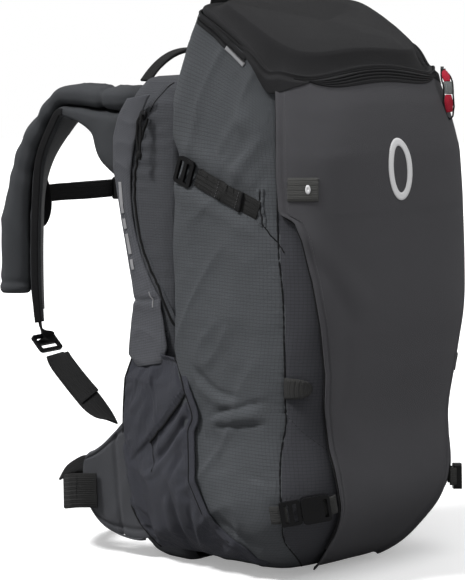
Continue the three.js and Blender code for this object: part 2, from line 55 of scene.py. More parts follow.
SIDES = {"left": -1, "right": 1}


def both(*makers):
    """Makes pieces for the wearer's left and for the right."""
    for side_name, side in SIDES.items():
        for make in makers:
            make(side_name, side)


# ---------- dimensions shared with the CAD model ----------

WEB = 20
WEB_THICK = 1.8
BELT = 38
BAG_WAIST_Y = -20
# z, half width, front face, rear face, share of the way from z up to the rim
BAG_LEVELS = [
    (0, 56, -44, 44, 0),
    (12, 96, -82, 46, 0),
    (40, 128, -114, 48, 0),
    (90, 147, -144, 50, 0),
    (165, 144, -141, 50, 0),
    (235, 148, -150, 50, 0),
    (300, 151, -155, 50, 0),
    (430, 148, -148, 50, 0),
    (430, 146, -142, 53, 0.4),
    (430, 142, -131, 36, 0.75),
    (430, 138, -118, 18, 1),
]
BAG_ROUNDING = (4, 6)
RIM = {"half": 138, "front": -118, "rear": 18, "low": 505, "rise": 92, "bulge": 32, "arch": 28}
UNIT_FRONT = 54.5
UNIT_WAIST_Y = 80
UNIT_ROUNDING = (9, 4.5)
# z, half width, rear face
UNIT_LEVELS = [
    (0, 96, 106),
    (12, 112, 118),
    (40, 120, 126),
    (150, 123, 130),
    (300, 125, 132),
    (420, 125, 146),
    (490, 118, 150),
    (516, 104, 138),
]
BURST = {"x": -133.2, "y": -64, "z": 406, "radius": 174, "slider": 26.3}

# ---------- lines, grids and meshes ----------


def smooth_value(rows, k):
    """The smooth value of evenly spaced rows at the float index k."""
    last = len(rows) - 1
    i = int(min(max(math.floor(k), 0), last - 1))
    f = k - i
    a, b, c, d = (rows[min(max(j, 0), last)] for j in (i - 1, i, i + 1, i + 2))
    return 0.5 * (2 * b + (c - a) * f + (2 * a - 5 * b + 4 * c - d) * f**2 + (3 * b - a - 3 * c + d) * f**3)


def run_along(line):
    """How far along a line each of its points lies."""
    steps = np.linalg.norm(np.diff(line, axis=0), axis=1)
    return np.concatenate([[0], np.cumsum(steps)])


def even(line, count):
    """The same line, as count rows that are evenly spaced along its first three columns."""
    line = np.asarray(line, float)
    run = run_along(line[:, :3])
    want = np.linspace(0, run[-1], count)
    return np.column_stack([np.interp(want, run, line[:, c]) for c in range(line.shape[1])])


def curve(rows, count):
    """A smooth line through rows, as count evenly spaced rows."""
    rows = np.asarray(rows, float)
    fine = [smooth_value(rows, k) for k in np.linspace(0, len(rows) - 1, 16 * len(rows))]
    return even(fine, count)


def units(vectors):
    lengths = np.linalg.norm(vectors, axis=-1, keepdims=True)
    return vectors / np.maximum(lengths, 1e-9)


def grid_normals(grid, closed):
    """Unit normals of a grid of points, columns counter-clockwise seen from above, rows upwards."""
    if closed:
        along = np.roll(grid, -1, 1) - np.roll(grid, 1, 1)
    else:
        along = np.gradient(grid, axis=1)
    return units(np.cross(along, np.gradient(grid, axis=0)))


def wander(points, size, seed=0.0, stretch=(1, 1, 1)):
    """Smooth noise from -1 to 1 at each point, with lumps of the given size."""
    scale = np.array(stretch, float) / size
    offset = Vector((seed, seed * 1.7, -seed * 0.6))
    flat = points.reshape(-1, 3) * scale
    values = [noise.noise(Vector(p) + offset) for p in flat]
    return np.array(values).reshape(points.shape[:-1])


def creases(points, size, seed=0.0, stretch=(1, 1, 1)):
    """Sharp-backed folds: 1 on a crease line, falling to about 0 between the lines."""
    return (1 - np.abs(wander(points, size, seed, stretch)) * 2) ** 3


def link_mesh(name, vertices, faces):
    mesh = bpy.data.meshes.new(name)
    mesh.from_pydata([tuple(v) for v in np.asarray(vertices) * MM], [], faces)
    mesh.update()
    made = bpy.data.objects.new(name, mesh)
    bpy.context.scene.collection.objects.link(made)
    return made


def put_uv(mesh, pairs, faces_from):
    """Gives the first faces_from faces a UV map in metres, one pair for each of their corners."""
    layer = mesh.uv_layers.new(name="cloth")
    flat = np.zeros((len(mesh.loops), 2), np.float32)
    flat[:faces_from] = pairs
    layer.data.foreach_set("uv", flat.ravel())


def skin(name, grid, closed=False, capped=False):
    """A mesh through a grid of points. Its UVs are the lengths along the cloth, in metres."""
    rows, columns = grid.shape[:2]
    wide = columns if closed else columns - 1
    faces = []
    corners = []
    for r in range(rows - 1):
        for c in range(wide):
            d = (c + 1) % columns
            faces.append((r * columns + c, r * columns + d, (r + 1) * columns + d, (r + 1) * columns + c))
            corners += [(r, c), (r, c + 1), (r + 1, c + 1), (r + 1, c)]
    wrapped = np.concatenate([grid, grid[:, :1]], axis=1) if closed else grid
    across = np.linalg.norm(np.diff(wrapped, axis=1), axis=2)
    upwards = np.linalg.norm(np.diff(wrapped, axis=0), axis=2)
    u = np.concatenate([np.zeros((rows, 1)), np.cumsum(across, axis=1)], axis=1)
    v = np.concatenate([np.zeros((1, wrapped.shape[1])), np.cumsum(upwards, axis=0)], axis=0)
    u -= u.mean(axis=1, keepdims=True)
    v[:] = v.mean(axis=1, keepdims=True)
    pick = np.array(corners)
    pairs = np.stack([u[pick[:, 0], pick[:, 1]], v[pick[:, 0], pick[:, 1]]], axis=1) * MM
    points = list(grid.reshape(-1, 3))
    if capped:
        for row, order in ((0, -1), (rows - 1, 1)):
            middle = len(points)
            points.append(grid[row].mean(axis=0))
            ring = [row * columns + c for c in range(columns)][::order]
            faces += [(ring[i], ring[(i + 1) % columns], middle) for i in range(columns)]
    made = link_mesh(name, points, faces)
    put_uv(made.data, pairs, len(pairs))
    return made


def sweep(stops, count, section):
    """The grid of a section carried along a smooth line of stops.

    A stop is x, y, z, the way its broad face looks (3 numbers), its width and its thickness.
    A section point is (out of the broad face, across it), each from -1 to 1.
    """
    path = curve(stops, count)
    centre = path[:, :3]
    along = units(np.gradient(centre, axis=0))
    across = units(np.cross(along, path[:, 3:6]))
    face = np.cross(across, along)
    outwards = np.array([s[0] for s in section])[None, :, None]
    sideways = np.array([s[1] for s in section])[None, :, None]
    wide = path[:, 6][:, None, None] / 2
    thick = path[:, 7][:, None, None] / 2
    return centre[:, None] + face[:, None] * outwards * thick + across[:, None] * sideways * wide


def oval(count, power):
    """A section from a circle (power 1) to a boxy pad (power near 0.4)."""
    angles = np.linspace(0, 2 * math.pi, count, endpoint=False)
    ring = np.column_stack([np.cos(angles), np.sin(angles)])
    return [tuple(point) for point in np.sign(ring) * np.abs(ring) ** power]


TAPE = [(1, -0.94), (1, -0.5), (1, 0), (1, 0.5), (1, 0.94), (0, 1),
        (-1, 0.94), (-1, 0.5), (-1, 0), (-1, -0.5), (-1, -0.94), (0, -1)]


def dashes(name, line, outs, size, pitch, across=False):
    """A row of small rounded bars along a line: stitches, or zip teeth if they lie across it.

    size is length, width and height.
    """
    line = np.asarray(line, float)
    run = np.linalg.norm(np.diff(line, axis=0), axis=1).sum()
    places = even(np.column_stack([line, outs]), max(int(run / pitch), 2))
    along = units(np.gradient(places[:, :3], axis=0))
    out = units(places[:, 3:6])
    other = units(np.cross(along, out))
    if across:
        along, other = other, along
    points = []
    faces = []
    for p, a, o, n in zip(places[:, :3], along, other, out):
        base = len(points)
        for end in (-1, 1):
            for side, lift, length in ((-1, 0.1, 1), (-0.5, 1, 0.86), (0.5, 1, 0.86), (1, 0.1, 1)):
                spot = p + a * end * length * size[0] / 2
                points.append(spot + o * side * size[1] / 2 + n * lift * size[2])
        faces += [(base + i, base + i + 1, base + i + 5, base + i + 4) for i in range(3)]
        faces += [(base + 3, base, base + 4, base + 7), (base, base + 3, base + 2, base + 1),
                  (base + 4, base + 5, base + 6, base + 7)]
    return link_mesh(name, points, faces)


def mirror_x(points, side):
    """Points drawn for the wearer's left, moved to the right side if side is 1."""
    return np.asarray(points, float) * np.array([-side, 1, 1])


def tidy_normals(made):
    work = bmesh.new()
    work.from_mesh(made.data)
    bmesh.ops.recalc_face_normals(work, faces=work.faces)
    work.to_mesh(made.data)
    work.free()


def solid(name, grid):
    """A closed mesh through a grid whose rows are rings, with both ends capped."""
    made = skin(name, grid, closed=True, capped=True)
    tidy_normals(made)
    return made


def apply_modifiers(made):
    graph = bpy.context.evaluated_depsgraph_get()
    baked = bpy.data.meshes.new_from_object(made.evaluated_get(graph))
    made.modifiers.clear()
    made.data = baked


def thicken(made, thickness):
    """Gives an open sheet real thickness, half to each side."""
    solidify = made.modifiers.new("thickness", "SOLIDIFY")
    solidify.thickness = thickness * MM
    solidify.offset = 0
    apply_modifiers(made)


def subdivide(made):
    smooth = made.modifiers.new("smooth", "SUBSURF")
    smooth.levels = 1
    smooth.render_levels = 1
    apply_modifiers(made)


def sheet(name, grid, thickness, closed=False):
    """A piece of cloth or film through a grid of points."""
    made = skin(name, grid, closed=closed)
    thicken(made, thickness)
    return made


def place(made, body, material, stands_for=()):
    """The last step for a piece: its finish, its shading and the body that it rides on.

    For fabric that crosses a joint, body holds two bodies and the points where it follows each of them;
    these are not used, and such a piece stays where it is, on no body.
    """
    made.data.materials.clear()
    made.data.materials.append(material)
    made.data.shade_smooth()
    if stands_for:
        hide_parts(*stands_for)
    if isinstance(body, str):
        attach(made, body)
    else:
        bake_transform(made)
    return made


def box_uv(made):
    """UVs in metres for a mesh that has lost its own, from the side that each face looks to."""
    mesh = made.data
    layer = mesh.uv_layers.get("cloth") or mesh.uv_layers.new(name="cloth")
    for polygon in mesh.polygons:
        normal = [abs(n) for n in polygon.normal]
        drop = normal.index(max(normal))
        keep = [i for i in (0, 1, 2) if i != drop]
        for index in polygon.loop_indices:
            point = mesh.vertices[mesh.loops[index].vertex_index].co
            layer.data[index].uv = (point[keep[0]], point[keep[1]])


# ---------- cloth simulation ----------

FRAMES = 20


def run_cloth(made, limit, setup):
    """Runs Blender's cloth on a mesh and keeps each point within limit of where it began."""
    start = np.array([v.co for v in made.data.vertices])
    cloth = made.modifiers.new("cloth", "CLOTH")
    cloth.settings.effector_weights.gravity = 0
    cloth.settings.quality = 5
    setup(cloth.settings)
    cloth.point_cache.frame_start = 1
    cloth.point_cache.frame_end = FRAMES
    scene = bpy.context.scene
    for number in range(1, FRAMES + 1):
        scene.frame_set(number)
    graph = bpy.context.evaluated_depsgraph_get()
    result = made.evaluated_get(graph).data
    moved = np.array([v.co for v in result.vertices]) - start
    far = np.linalg.norm(moved, axis=1, keepdims=True)
    moved *= np.minimum(1, limit * MM / np.maximum(far, 1e-9))
    made.modifiers.remove(cloth)
    made.data.vertices.foreach_set("co", (start + moved).astype(np.float32).ravel())
    made.data.update()
    scene.frame_set(1)


VOXEL = 5
PRESSURE = 4.0


def puff(made, limit):
    """Blows a closed pad up like stuffed fabric, then smooths it."""
    remesh = made.modifiers.new("remesh", "REMESH")
    remesh.mode = "VOXEL"
    remesh.voxel_size = VOXEL * MM
    apply_modifiers(made)

    def setup(settings):
        settings.use_pressure = True
        settings.uniform_pressure_force = PRESSURE
        settings.tension_stiffness = 10
        settings.compression_stiffness = 10
        settings.bending_stiffness = 0.3

    run_cloth(made, limit, setup)
    subdivide(made)
    box_uv(made)


def crumple(made, held, extra, limit):
    """Wrinkles a sheet that is a little too large for the edges that hold it."""
    group = made.vertex_groups.new(name="held")
    group.add([int(i) for i in held], 1.0, "REPLACE")

    def setup(settings):
        settings.vertex_group_mass = "held"
        settings.shrink_min = -extra
        settings.shrink_max = -extra
        settings.tension_stiffness = 15
        settings.compression_stiffness = 15
        settings.bending_stiffness = 0.08

    run_cloth(made, limit, setup)
    made.vertex_groups.clear()


# ---------- materials ----------


class Finish:
    """A node material, with short ways to add nodes and join them."""

    def __init__(self, name, colour, roughness, **fixed):
        self.material = bpy.data.materials.new(name)
        self.material.use_nodes = True
        self.tree = self.material.node_tree
        self.shader = self.tree.nodes["Principled BSDF"]
        self.roughness = roughness
        for socket, value in fixed.items():
            self.shader.inputs[socket.replace("_", " ")].default_value = value
        self.height = None
        plain = self.add("RGB").outputs[0]
        plain.default_value = (*colour, 1)
        self.colour = plain

    def add(self, kind, *values, **settings):
        made = self.tree.nodes.new("ShaderNode" + kind)
        for key, value in settings.items():
            setattr(made, key, value)
        for socket, value in zip(made.inputs, values):
            if isinstance(value, bpy.types.NodeSocket):
                self.tree.links.new(value, socket)
            elif value is not None:
                socket.default_value = value
        return made

    def math(self, operation, *values):
        return self.add("Math", *values, operation=operation).outputs[0]

    def spots(self, kind="Object"):
        return self.add("TexCoord").outputs[kind]

    def noise(self, where, scale, detail=2.0):
        made = self.add("TexNoise", where)
        made.inputs["Scale"].default_value = scale
        made.inputs["Detail"].default_value = detail
        return made.outputs["Fac"]

    def raise_by(self, height, share=1.0):
        """Adds a height field to the bump."""
        scaled = self.math("MULTIPLY", height, share)
        self.height = scaled if self.height is None else self.math("ADD", self.height, scaled)

    def tint(self, amount, factor):
        """Lightens and darkens the colour by amount, as factor goes from 0 to 1."""
        light = self.math("MULTIPLY_ADD", factor, 2 * amount, 1 - amount)
        vector = self.add("VectorMath", self.colour, operation="SCALE")
        self.tree.links.new(light, vector.inputs["Scale"])
        self.colour = vector.outputs[0]

    def done(self, bump=0.0, vary=0.0, vary_by=None):
        """Joins the colour, the bump (in mm) and the roughness to the shader."""
        self.tree.links.new(self.colour, self.shader.inputs["Base Color"])
        if vary_by is None:
            self.shader.inputs["Roughness"].default_value = self.roughness
        else:
            rough = self.math("MULTIPLY_ADD", vary_by, 2 * vary, self.roughness - vary)
            self.tree.links.new(rough, self.shader.inputs["Roughness"])
        if bump:
            made = self.add("Bump")
            made.inputs["Strength"].default_value = 1.0
            made.inputs["Distance"].default_value = bump * MM
            self.tree.links.new(self.height, made.inputs["Height"])
            self.tree.links.new(made.outputs[0], self.shader.inputs["Normal"])
        return self.material


def stripes(finish, length, pitch, width):
    """1 on thin lines pitch apart, along one length in metres, and 0 between them."""
    turn = finish.math("FRACT", finish.math("DIVIDE", length, pitch * MM))
    off = finish.math("ABSOLUTE", finish.math("SUBTRACT", turn, 0.5))
    return finish.math("GREATER_THAN", off, 0.5 - width / 2)


def waves(finish, length, pitch):
    return finish.math("SINE", finish.math("MULTIPLY", length, 2 * math.pi / (pitch * MM)))


def fabric(name, colour, roughness=0.8, thread=0.55, ripstop=0.0, crinkle=0.0, mottle=0.06, sheen=0.02):
    """Woven cloth: threads, an optional ripstop grid, fine crinkles and worn patches."""
    finish = Finish(name, colour, roughness, Sheen_Weight=sheen, Sheen_Roughness=0.5,
                    Specular_IOR_Level=0.2)
    uv = finish.add("SeparateXYZ", finish.spots("UV")).outputs
    weave = finish.math("MULTIPLY", waves(finish, uv[0], thread), waves(finish, uv[1], thread))
    finish.raise_by(weave, 0.25)
    if ripstop:
        upright = stripes(finish, uv[0], ripstop, 0.16)
        level = stripes(finish, uv[1], ripstop * 0.85, 0.18)
        lines = finish.math("MAXIMUM", finish.math("MULTIPLY", upright, 0.6), level)
        finish.raise_by(lines, 0.8)
        finish.tint(-0.16, lines)
    spots = finish.spots()
    broad = finish.noise(spots, 22.0, 3.0)
    finish.tint(mottle, broad)
    finish.tint(mottle * 0.7, finish.noise(spots, 420.0, 2.0))
    if crinkle:
        finish.raise_by(finish.noise(spots, 95.0, 4.0), crinkle)
    return finish.done(bump=0.6, vary=0.06, vary_by=broad)


def webbing_cloth(name, colour, pitch=2.4):
    """Flat webbing: herringbone ribs along it and a smooth selvedge."""
    finish = Finish(name, colour, 0.72, Sheen_Weight=0.03, Sheen_Roughness=0.4, Specular_IOR_Level=0.25)
    uv = finish.add("SeparateXYZ", finish.spots("UV")).outputs
    slant = finish.math("ADD", uv[1], finish.math("PINGPONG", uv[0], pitch * MM))
    rib = waves(finish, slant, 1.3)
    finish.raise_by(rib, 0.6)
    finish.raise_by(waves(finish, uv[0], pitch), 0.5)
    finish.tint(0.14, finish.math("MULTIPLY_ADD", rib, 0.5, 0.5))
    worn = finish.noise(finish.spots(), 60.0, 4.0)
    finish.tint(0.12, worn)
    return finish.done(bump=0.3, vary=0.08, vary_by=worn)


def mesh_cloth(name, colour):
    """Open spacer mesh: small dark holes in a rounded lattice."""
    finish = Finish(name, colour, 0.85, Sheen_Weight=0.2, Specular_IOR_Level=0.3)
    cells = finish.add("TexVoronoi", finish.spots("UV"))
    cells.inputs["Scale"].default_value = 420.0
    cells.inputs["Randomness"].default_value = 0.15
    hole = finish.math("LESS_THAN", cells.outputs["Distance"], 0.32)
    finish.raise_by(hole, -1.0)
    finish.tint(-0.45, hole)
    finish.tint(0.08, finish.noise(finish.spots(), 40.0))
    return finish.done(bump=0.5)


def moulded(name, colour, roughness, grain=900.0, gloss=0.5):
    """Injection-moulded plastic with a spark-eroded grain, sharp edges painted lighter as rubbed wear and
    painted highlight, and hollows painted darker as painted shade.
    """
    finish = Finish(name, colour, roughness, Specular_IOR_Level=gloss)
    spots = finish.spots()
    finish.raise_by(finish.noise(spots, grain, 3.0), 1.0)
    # pointiness paints sharp edges lighter (rubbed wear and painted highlight) and hollows darker (painted
    # shade)
    edge = finish.add("NewGeometry").outputs["Pointiness"]
    finish.tint(0.5, finish.math("MULTIPLY_ADD", edge, 2.5, -0.75))
    smear = finish.noise(spots, 70.0, 3.0)
    finish.tint(0.08, smear)
    return finish.done(bump=0.05, vary=0.08, vary_by=smear)


BRUSHING = (40, 900, 40)


def metal(name, colour, roughness):
    """Plated or satin metal, brushed along X and Z."""
    finish = Finish(name, colour, roughness, Metallic=1.0)
    stretched = finish.add("VectorMath", finish.spots(), BRUSHING, operation="MULTIPLY").outputs[0]
    brushed = finish.noise(stretched, 1.0, 4.0)
    finish.raise_by(brushed, 1.0)
    finish.tint(0.1, brushed)
    return finish.done(bump=0.02, vary=0.1, vary_by=brushed)


def plain_film(name, colour, roughness):
    """A printed or reflective film, with a fine speckle."""
    finish = Finish(name, colour, roughness, Specular_IOR_Level=0.5)
    speckle = finish.noise(finish.spots(), 1500.0, 2.0)
    finish.raise_by(speckle, 1.0)
    finish.tint(0.07, speckle)
    return finish.done(bump=0.04, vary=0.05, vary_by=speckle)


def glowing(name, colour):
    """A small clear lens over a lamp."""
    finish = Finish(name, colour, 0.12, Transmission_Weight=0.3, Specular_IOR_Level=0.6)
    haze = finish.noise(finish.spots(), 300.0)
    finish.tint(0.1, haze)
    return finish.done(vary=0.04, vary_by=haze)


RIPSTOP = fabric("side ripstop", (0.088, 0.094, 0.102), 0.72, ripstop=4.2, crinkle=1.6)
UNIT_CLOTH = fabric("unit ripstop", (0.076, 0.079, 0.088), 0.74, ripstop=3.4, crinkle=1.8)
COVER_CLOTH = fabric("cover ripstop", (0.108, 0.111, 0.124), 0.74, ripstop=3.4, crinkle=1.8)
# the side ripstop darkened for the gusset, as painted shade where the bag's corner turns from the light
GUSSET_PAINTED_SHADE = fabric("gusset ripstop painted shade", (0.054, 0.055, 0.063), 0.72, ripstop=4.2, crinkle=1.6)
FRONT_CLOTH = fabric("front cloth", (0.078, 0.077, 0.084), 0.78, thread=0.8, mottle=0.04)
LID_CLOTH = fabric("lid cloth", (0.018, 0.018, 0.0195), 0.74, thread=0.7, crinkle=0.3)
THIN_NYLON = fabric("thin nylon", (0.050, 0.052, 0.066), 0.55, thread=0.4, crinkle=1.2, sheen=0.05)
HIP_CLOTH = fabric("hip belt cloth", (0.078, 0.080, 0.088), 0.8, thread=0.9, crinkle=0.8)
PAD_CLOTH = fabric("padded cloth", (0.055, 0.058, 0.063), 0.8, thread=0.9, crinkle=0.5)
DARK_EDGE = fabric("binding", (0.009, 0.009, 0.010), 0.75, thread=0.8, mottle=0.1)
SPACER_MESH = mesh_cloth("spacer mesh", (0.030, 0.032, 0.035))
WEBBING = webbing_cloth("webbing", (0.0075, 0.0075, 0.008))
LIGHT_WEBBING = webbing_cloth("belt webbing", (0.012, 0.012, 0.012))
TAB_WEBBING = webbing_cloth("tab webbing", (0.075, 0.075, 0.072))
SEAM_WEBBING = webbing_cloth("seam webbing", (0.034, 0.034, 0.033))
DIM_FILM = plain_film("dull reflective film", (0.30, 0.30, 0.31), 0.4)
THREAD = fabric("thread", (0.10, 0.10, 0.105), 0.6, thread=0.3, mottle=0.1)
RED_CORD = webbing_cloth("red cord", (0.46, 0.012, 0.035), pitch=1.1)
GREY_CORD = webbing_cloth("grey cord", (0.16, 0.17, 0.17), pitch=1.1)
BLACK_CORD = webbing_cloth("black cord", (0.006, 0.006, 0.0065), pitch=1.0)
AIRBAG_CLOTH = fabric("airbag cloth", (0.55, 0.10, 0.03), 0.6, thread=0.5, crinkle=1.5)
BUCKLE = moulded("buckle plastic", (0.004, 0.004, 0.0045), 0.3, gloss=0.22)
HARD_PLASTIC = moulded("casing plastic", (0.012, 0.013, 0.015), 0.45, grain=500.0)
SHEET_PLASTIC = moulded("sheet plastic", (0.035, 0.037, 0.041), 0.5, grain=400.0)
RUBBER = moulded("rubber", (0.020, 0.022, 0.025), 0.8, grain=300.0, gloss=0.3)
RUBBER_RED = moulded("red grip rubber", (0.45, 0.012, 0.03), 0.6, grain=300.0)
ZIP_METAL = metal("zip metal", (0.055, 0.055, 0.058), 0.35)
ALUMINIUM = metal("aluminium", (0.62, 0.63, 0.65), 0.34)
BRIGHT = plain_film("reflective film", (0.78, 0.78, 0.79), 0.35)
LENS = glowing("status lens", (0.10, 0.60, 0.18))

# ---------- camera, lights and floor ----------

CAMERA = {"azimuth": -47.0, "elevation": 7.0, "target": (-44, 47, 292), "distance": 2600, "lens": 148.5}


def make_camera():
    azimuth = math.radians(CAMERA["azimuth"])
    tilt = math.radians(CAMERA["elevation"])
    back = Vector((math.sin(azimuth) * math.cos(tilt), -math.cos(azimuth) * math.cos(tilt), math.sin(tilt)))
    camera = bpy.data.objects.new("camera", bpy.data.cameras.new("camera"))
    bpy.context.scene.collection.objects.link(camera)
    camera.location = (Vector(CAMERA["target"]) + back * CAMERA["distance"]) * MM
    camera.rotation_mode = "QUATERNION"
    camera.rotation_quaternion = (-back).to_track_quat("-Z", "Y")
    camera.data.lens = CAMERA["lens"]
    camera.data.clip_start = 0.1
    bpy.context.scene.camera = camera


WORLD_LIGHT = 0.42
# name: where it shines from, strength, and how wide the lamp looks in degrees
LIGHTS = {
    "key": ((-1.35, 0.62, 2.0), 2.75, 12),
    "top": ((-0.3, -0.8, 1.9), 0.7, 40),
    "right": ((1.6, -1.7, 1.4), 0.42, 30),
}


def make_lights():
    for name, (spot, strength, width) in LIGHTS.items():
        lamp = bpy.data.lights.new(name, "SUN")
        lamp.energy = strength
        lamp.angle = math.radians(width)
        lit = bpy.data.objects.new(name, lamp)
        lit.location = spot
        lit.rotation_euler = (-Vector(spot)).to_track_quat("-Z", "Y").to_euler()
        bpy.context.scene.collection.objects.link(lit)
    world = bpy.data.worlds.new("studio")
    world.use_nodes = True
    tree = world.node_tree
    soft = tree.nodes["Background"]
    soft.inputs["Color"].default_value = (1, 1, 1, 1)
    soft.inputs["Strength"].default_value = WORLD_LIGHT
    backdrop = tree.nodes.new("ShaderNodeBackground")
    backdrop.inputs["Color"].default_value = (1, 1, 1, 1)
    seen = tree.nodes.new("ShaderNodeLightPath")
    mix = tree.nodes.new("ShaderNodeMixShader")
    tree.links.new(seen.outputs["Is Camera Ray"], mix.inputs[0])
    tree.links.new(soft.outputs[0], mix.inputs[1])
    tree.links.new(backdrop.outputs[0], mix.inputs[2])
    tree.links.new(mix.outputs[0], tree.nodes["World Output"].inputs["Surface"])
    bpy.context.scene.world = world
    bpy.context.scene.view_settings.view_transform = "Standard"


def make_floor():
    half = 6000
    floor = link_mesh("floor", [(-half, -half, 0), (half, -half, 0), (half, half, 0), (-half, half, 0)],
                      [(0, 1, 2, 3)])
    finish = Finish("floor paint", (0.97, 0.97, 0.975), 0.8, Specular_IOR_Level=0.1)
    finish.tint(0.005, finish.noise(finish.spots(), 3.0))
    # light that the floor throws back up is dimmed, as a grey card under the pack would do
    seen = finish.add("LightPath").outputs["Is Camera Ray"]
    finish.tint(0.35, finish.math("MULTIPLY_ADD", seen, 1.0, -0.5))
    finish.shader.inputs["Emission Color"].default_value = (1, 1, 1, 1)
    finish.tree.links.new(finish.math("MULTIPLY", seen, 0.3), finish.shader.inputs["Emission Strength"])
    floor.data.materials.append(finish.done())


make_camera()
make_lights()
make_floor()

# ---------- the main bag's shape ----------
# A place on the bag is a level (an index into BAG_LEVELS) and a turn: -2 and 2 are the middle of
# the rear, -1 the widest point on the wearer's left, 0 the middle of the front and 1 the right.

# where the rim dips at the top of the gusset seam
RIM_DIP = {"x": 135, "y": -92, "depth": 12}
# the rings that close the bag's base, as shares of its lowest outline
BASE_RINGS = (0.02, 0.35, 0.7, 0.92)
BAG_ROWS = 176
BAG_COLUMNS = 372
RIM_LEVEL = len(BAG_LEVELS) - 1


def rim_height(x, y):
    back = (y - RIM["front"]) / (RIM["rear"] - RIM["front"])
    arch = RIM["arch"] * (1 - (x / RIM["half"]) ** 2) * (1 - back) ** 2
    corner = np.exp(-((np.abs(x) - RIM_DIP["x"]) / 6.5) ** 2 - ((y - RIM_DIP["y"]) / 20) ** 2)
    hump = RIM["bulge"] * back * (1 - back)
    return RIM["low"] + RIM["rise"] * back + hump + arch - RIM_DIP["depth"] * corner


def quadrant(half, reach, power):
    """A line from the widest point to the middle, and each point's share of its length."""
    step = np.linspace(0, 1, 500)
    angle = step * step * (3 - 2 * step) * math.pi / 2
    x = half * np.cos(angle) ** (2 / power)
    y = reach * np.sin(angle) ** (2 / power)
    run = np.concatenate([[0], np.cumsum(np.hypot(np.diff(x), np.diff(y)))])
    return x, y, run / run[-1]


def outline(half, front, rear, waist_y, rounding, turn):
    """The x and y of a rounded outline that is widest at waist_y, for an array of turns."""
    turn = np.asarray(turn, float)
    ahead = np.abs(turn) <= 1
    fx, fy, frun = quadrant(half, waist_y - front, rounding[0])
    rx, ry, rrun = quadrant(half, rear - waist_y, rounding[1])
    forward = 1 - np.abs(turn)
    x = np.where(ahead, np.interp(forward, frun, fx), np.interp(-forward, rrun, rx))
    y = np.where(ahead, -np.interp(forward, frun, fy), np.interp(-forward, rrun, ry))
    return x * np.where(turn < 0, -1, 1), y + waist_y


def bag_points(level, turn):
    """The points of the bag's plain outline at one level, for an array of turns."""
    z, half, front, rear, share = smooth_value(np.array(BAG_LEVELS, float), level)
    x, y = outline(half, front, rear, BAG_WAIST_Y, BAG_ROUNDING, turn)
    return np.stack([x, y, z + (rim_height(x, y) - z) * np.clip(share, 0, 1)], axis=-1)


FINE_LEVELS = np.linspace(0, RIM_LEVEL, 500)
CORNER_LINE = np.array([bag_points(k, [-0.65])[0] for k in FINE_LEVELS])


def level_at(z):
    """The level whose height is z at the bag's front corner."""
    return float(np.interp(z, CORNER_LINE[:, 2], FINE_LEVELS))


def seam_line(stops, side, count=220):
    """A line on the plain outline, from stops of height and share of the way round to the front."""
    path = curve([(z, 0, 0, share) for z, share in stops], count)
    turns = side * (1 - path[:, 3])
    return np.array([bag_points(level_at(z), [w])[0] for z, w in zip(path[:, 0], turns)])


# height, and the share of the way from the bag's widest line to the middle of its front
PANEL_EDGE = [(14, 0.60), (28, 0.611), (57, 0.641), (86, 0.640), (119, 0.61), (148, 0.583), (192, 0.557),
              (227, 0.555), (277, 0.529), (323, 0.496), (364, 0.455), (383, 0.425), (391, 0.365),
              (428, 0.354), (483, 0.352), (511, 0.345)]
GUSSET_SEAM = [(8, 0.50), (35, 0.422), (48, 0.385), (77, 0.376), (123, 0.366), (150, 0.374), (175, 0.393),
               (198, 0.387), (252, 0.383), (307, 0.375), (352, 0.357), (387, 0.352), (428, 0.354),
               (483, 0.352), (511, 0.345)]
CROSS_SEAM = [(187, 0.39), (166, 0.47), (146, 0.585)]
# the line that the upper side strap presses into the bag: a point on it and its slope
PRESSED = {"y": -4, "z": 422, "slope": 0.352}
# folds on the bag's side: points as y and z, half width, height
SIDE_FOLDS = [
    (((-92, 470), (-72, 446), (-50, 424)), 7, 2.2),
    (((-72, 496), (-50, 466), (-28, 434)), 9, 2.0),
    (((-104, 450), (-92, 428), (-80, 408)), 6, -1.8),
    (((-60, 480), (-42, 452), (-30, 440)), 5, -1.6),
    (((-88, 404), (-100, 411), (-112, 420)), 4, -1.3),
    (((-88, 396), (-102, 396), (-116, 398)), 4, 1.3),
    (((-88, 388), (-102, 381), (-116, 377)), 4, -1.3),
    (((-86, 380), (-96, 362), (-107, 350)), 4, -2.4),
    (((8, 226), (-16, 207), (-35, 200), (-60, 199)), 3.5, -1.5),
    (((8, 214), (-14, 197), (-36, 191), (-66, 192)), 6, 1.4),
    (((-10, 171), (-35, 182), (-74, 193), (-110, 201)), 3.2, -1.7),
    (((-12, 163), (-46, 167), (-80, 172), (-117, 175)), 3.2, -1.8),
    (((-12, 168), (-44, 175), (-80, 183), (-112, 189)), 8, 1.8),
    (((-10, 158), (-28, 140), (-34, 112)), 10, -1.1),
    (((-70, 122), (-100, 109), (-122, 103)), 3.5, -1.2),
    (((-80, 104), (-104, 94), (-122, 91)), 3.5, -1.2),
    (((-74, 112), (-104, 101), (-122, 97)), 6, 1.0),
    (((-20, 70), (-46, 50), (-86, 38)), 6, -1.5),
]


class Lines:
    """Lines in space that can say how far each point is from them, and how far along."""

    def __init__(self, lines):
        points = []
        self.run = []
        for line in lines:
            line = even(line, max(len(line), 60))
            points += list(line)
            self.run += list(run_along(line))
        self.tree = KDTree(len(points))
        for i, point in enumerate(points):
            self.tree.insert(point, i)
        self.tree.balance()
        self.run = np.array(self.run)

    def near(self, points):
        found = [self.tree.find(p) for p in points.reshape(-1, 3)]
        far = np.array([f[2] for f in found]).reshape(points.shape[:-1])
        run = self.run[[f[1] for f in found]].reshape(points.shape[:-1])
        return far, run


def ramp(value, start, end):
    """0 up to start, 1 from end onwards and straight between them; end may be the lower one."""
    return np.clip((value - start) / (end - start), 0, 1)


def bell(distance, width):
    return np.exp(-(distance / width) ** 2)


PUCKER_PITCH = 9.0


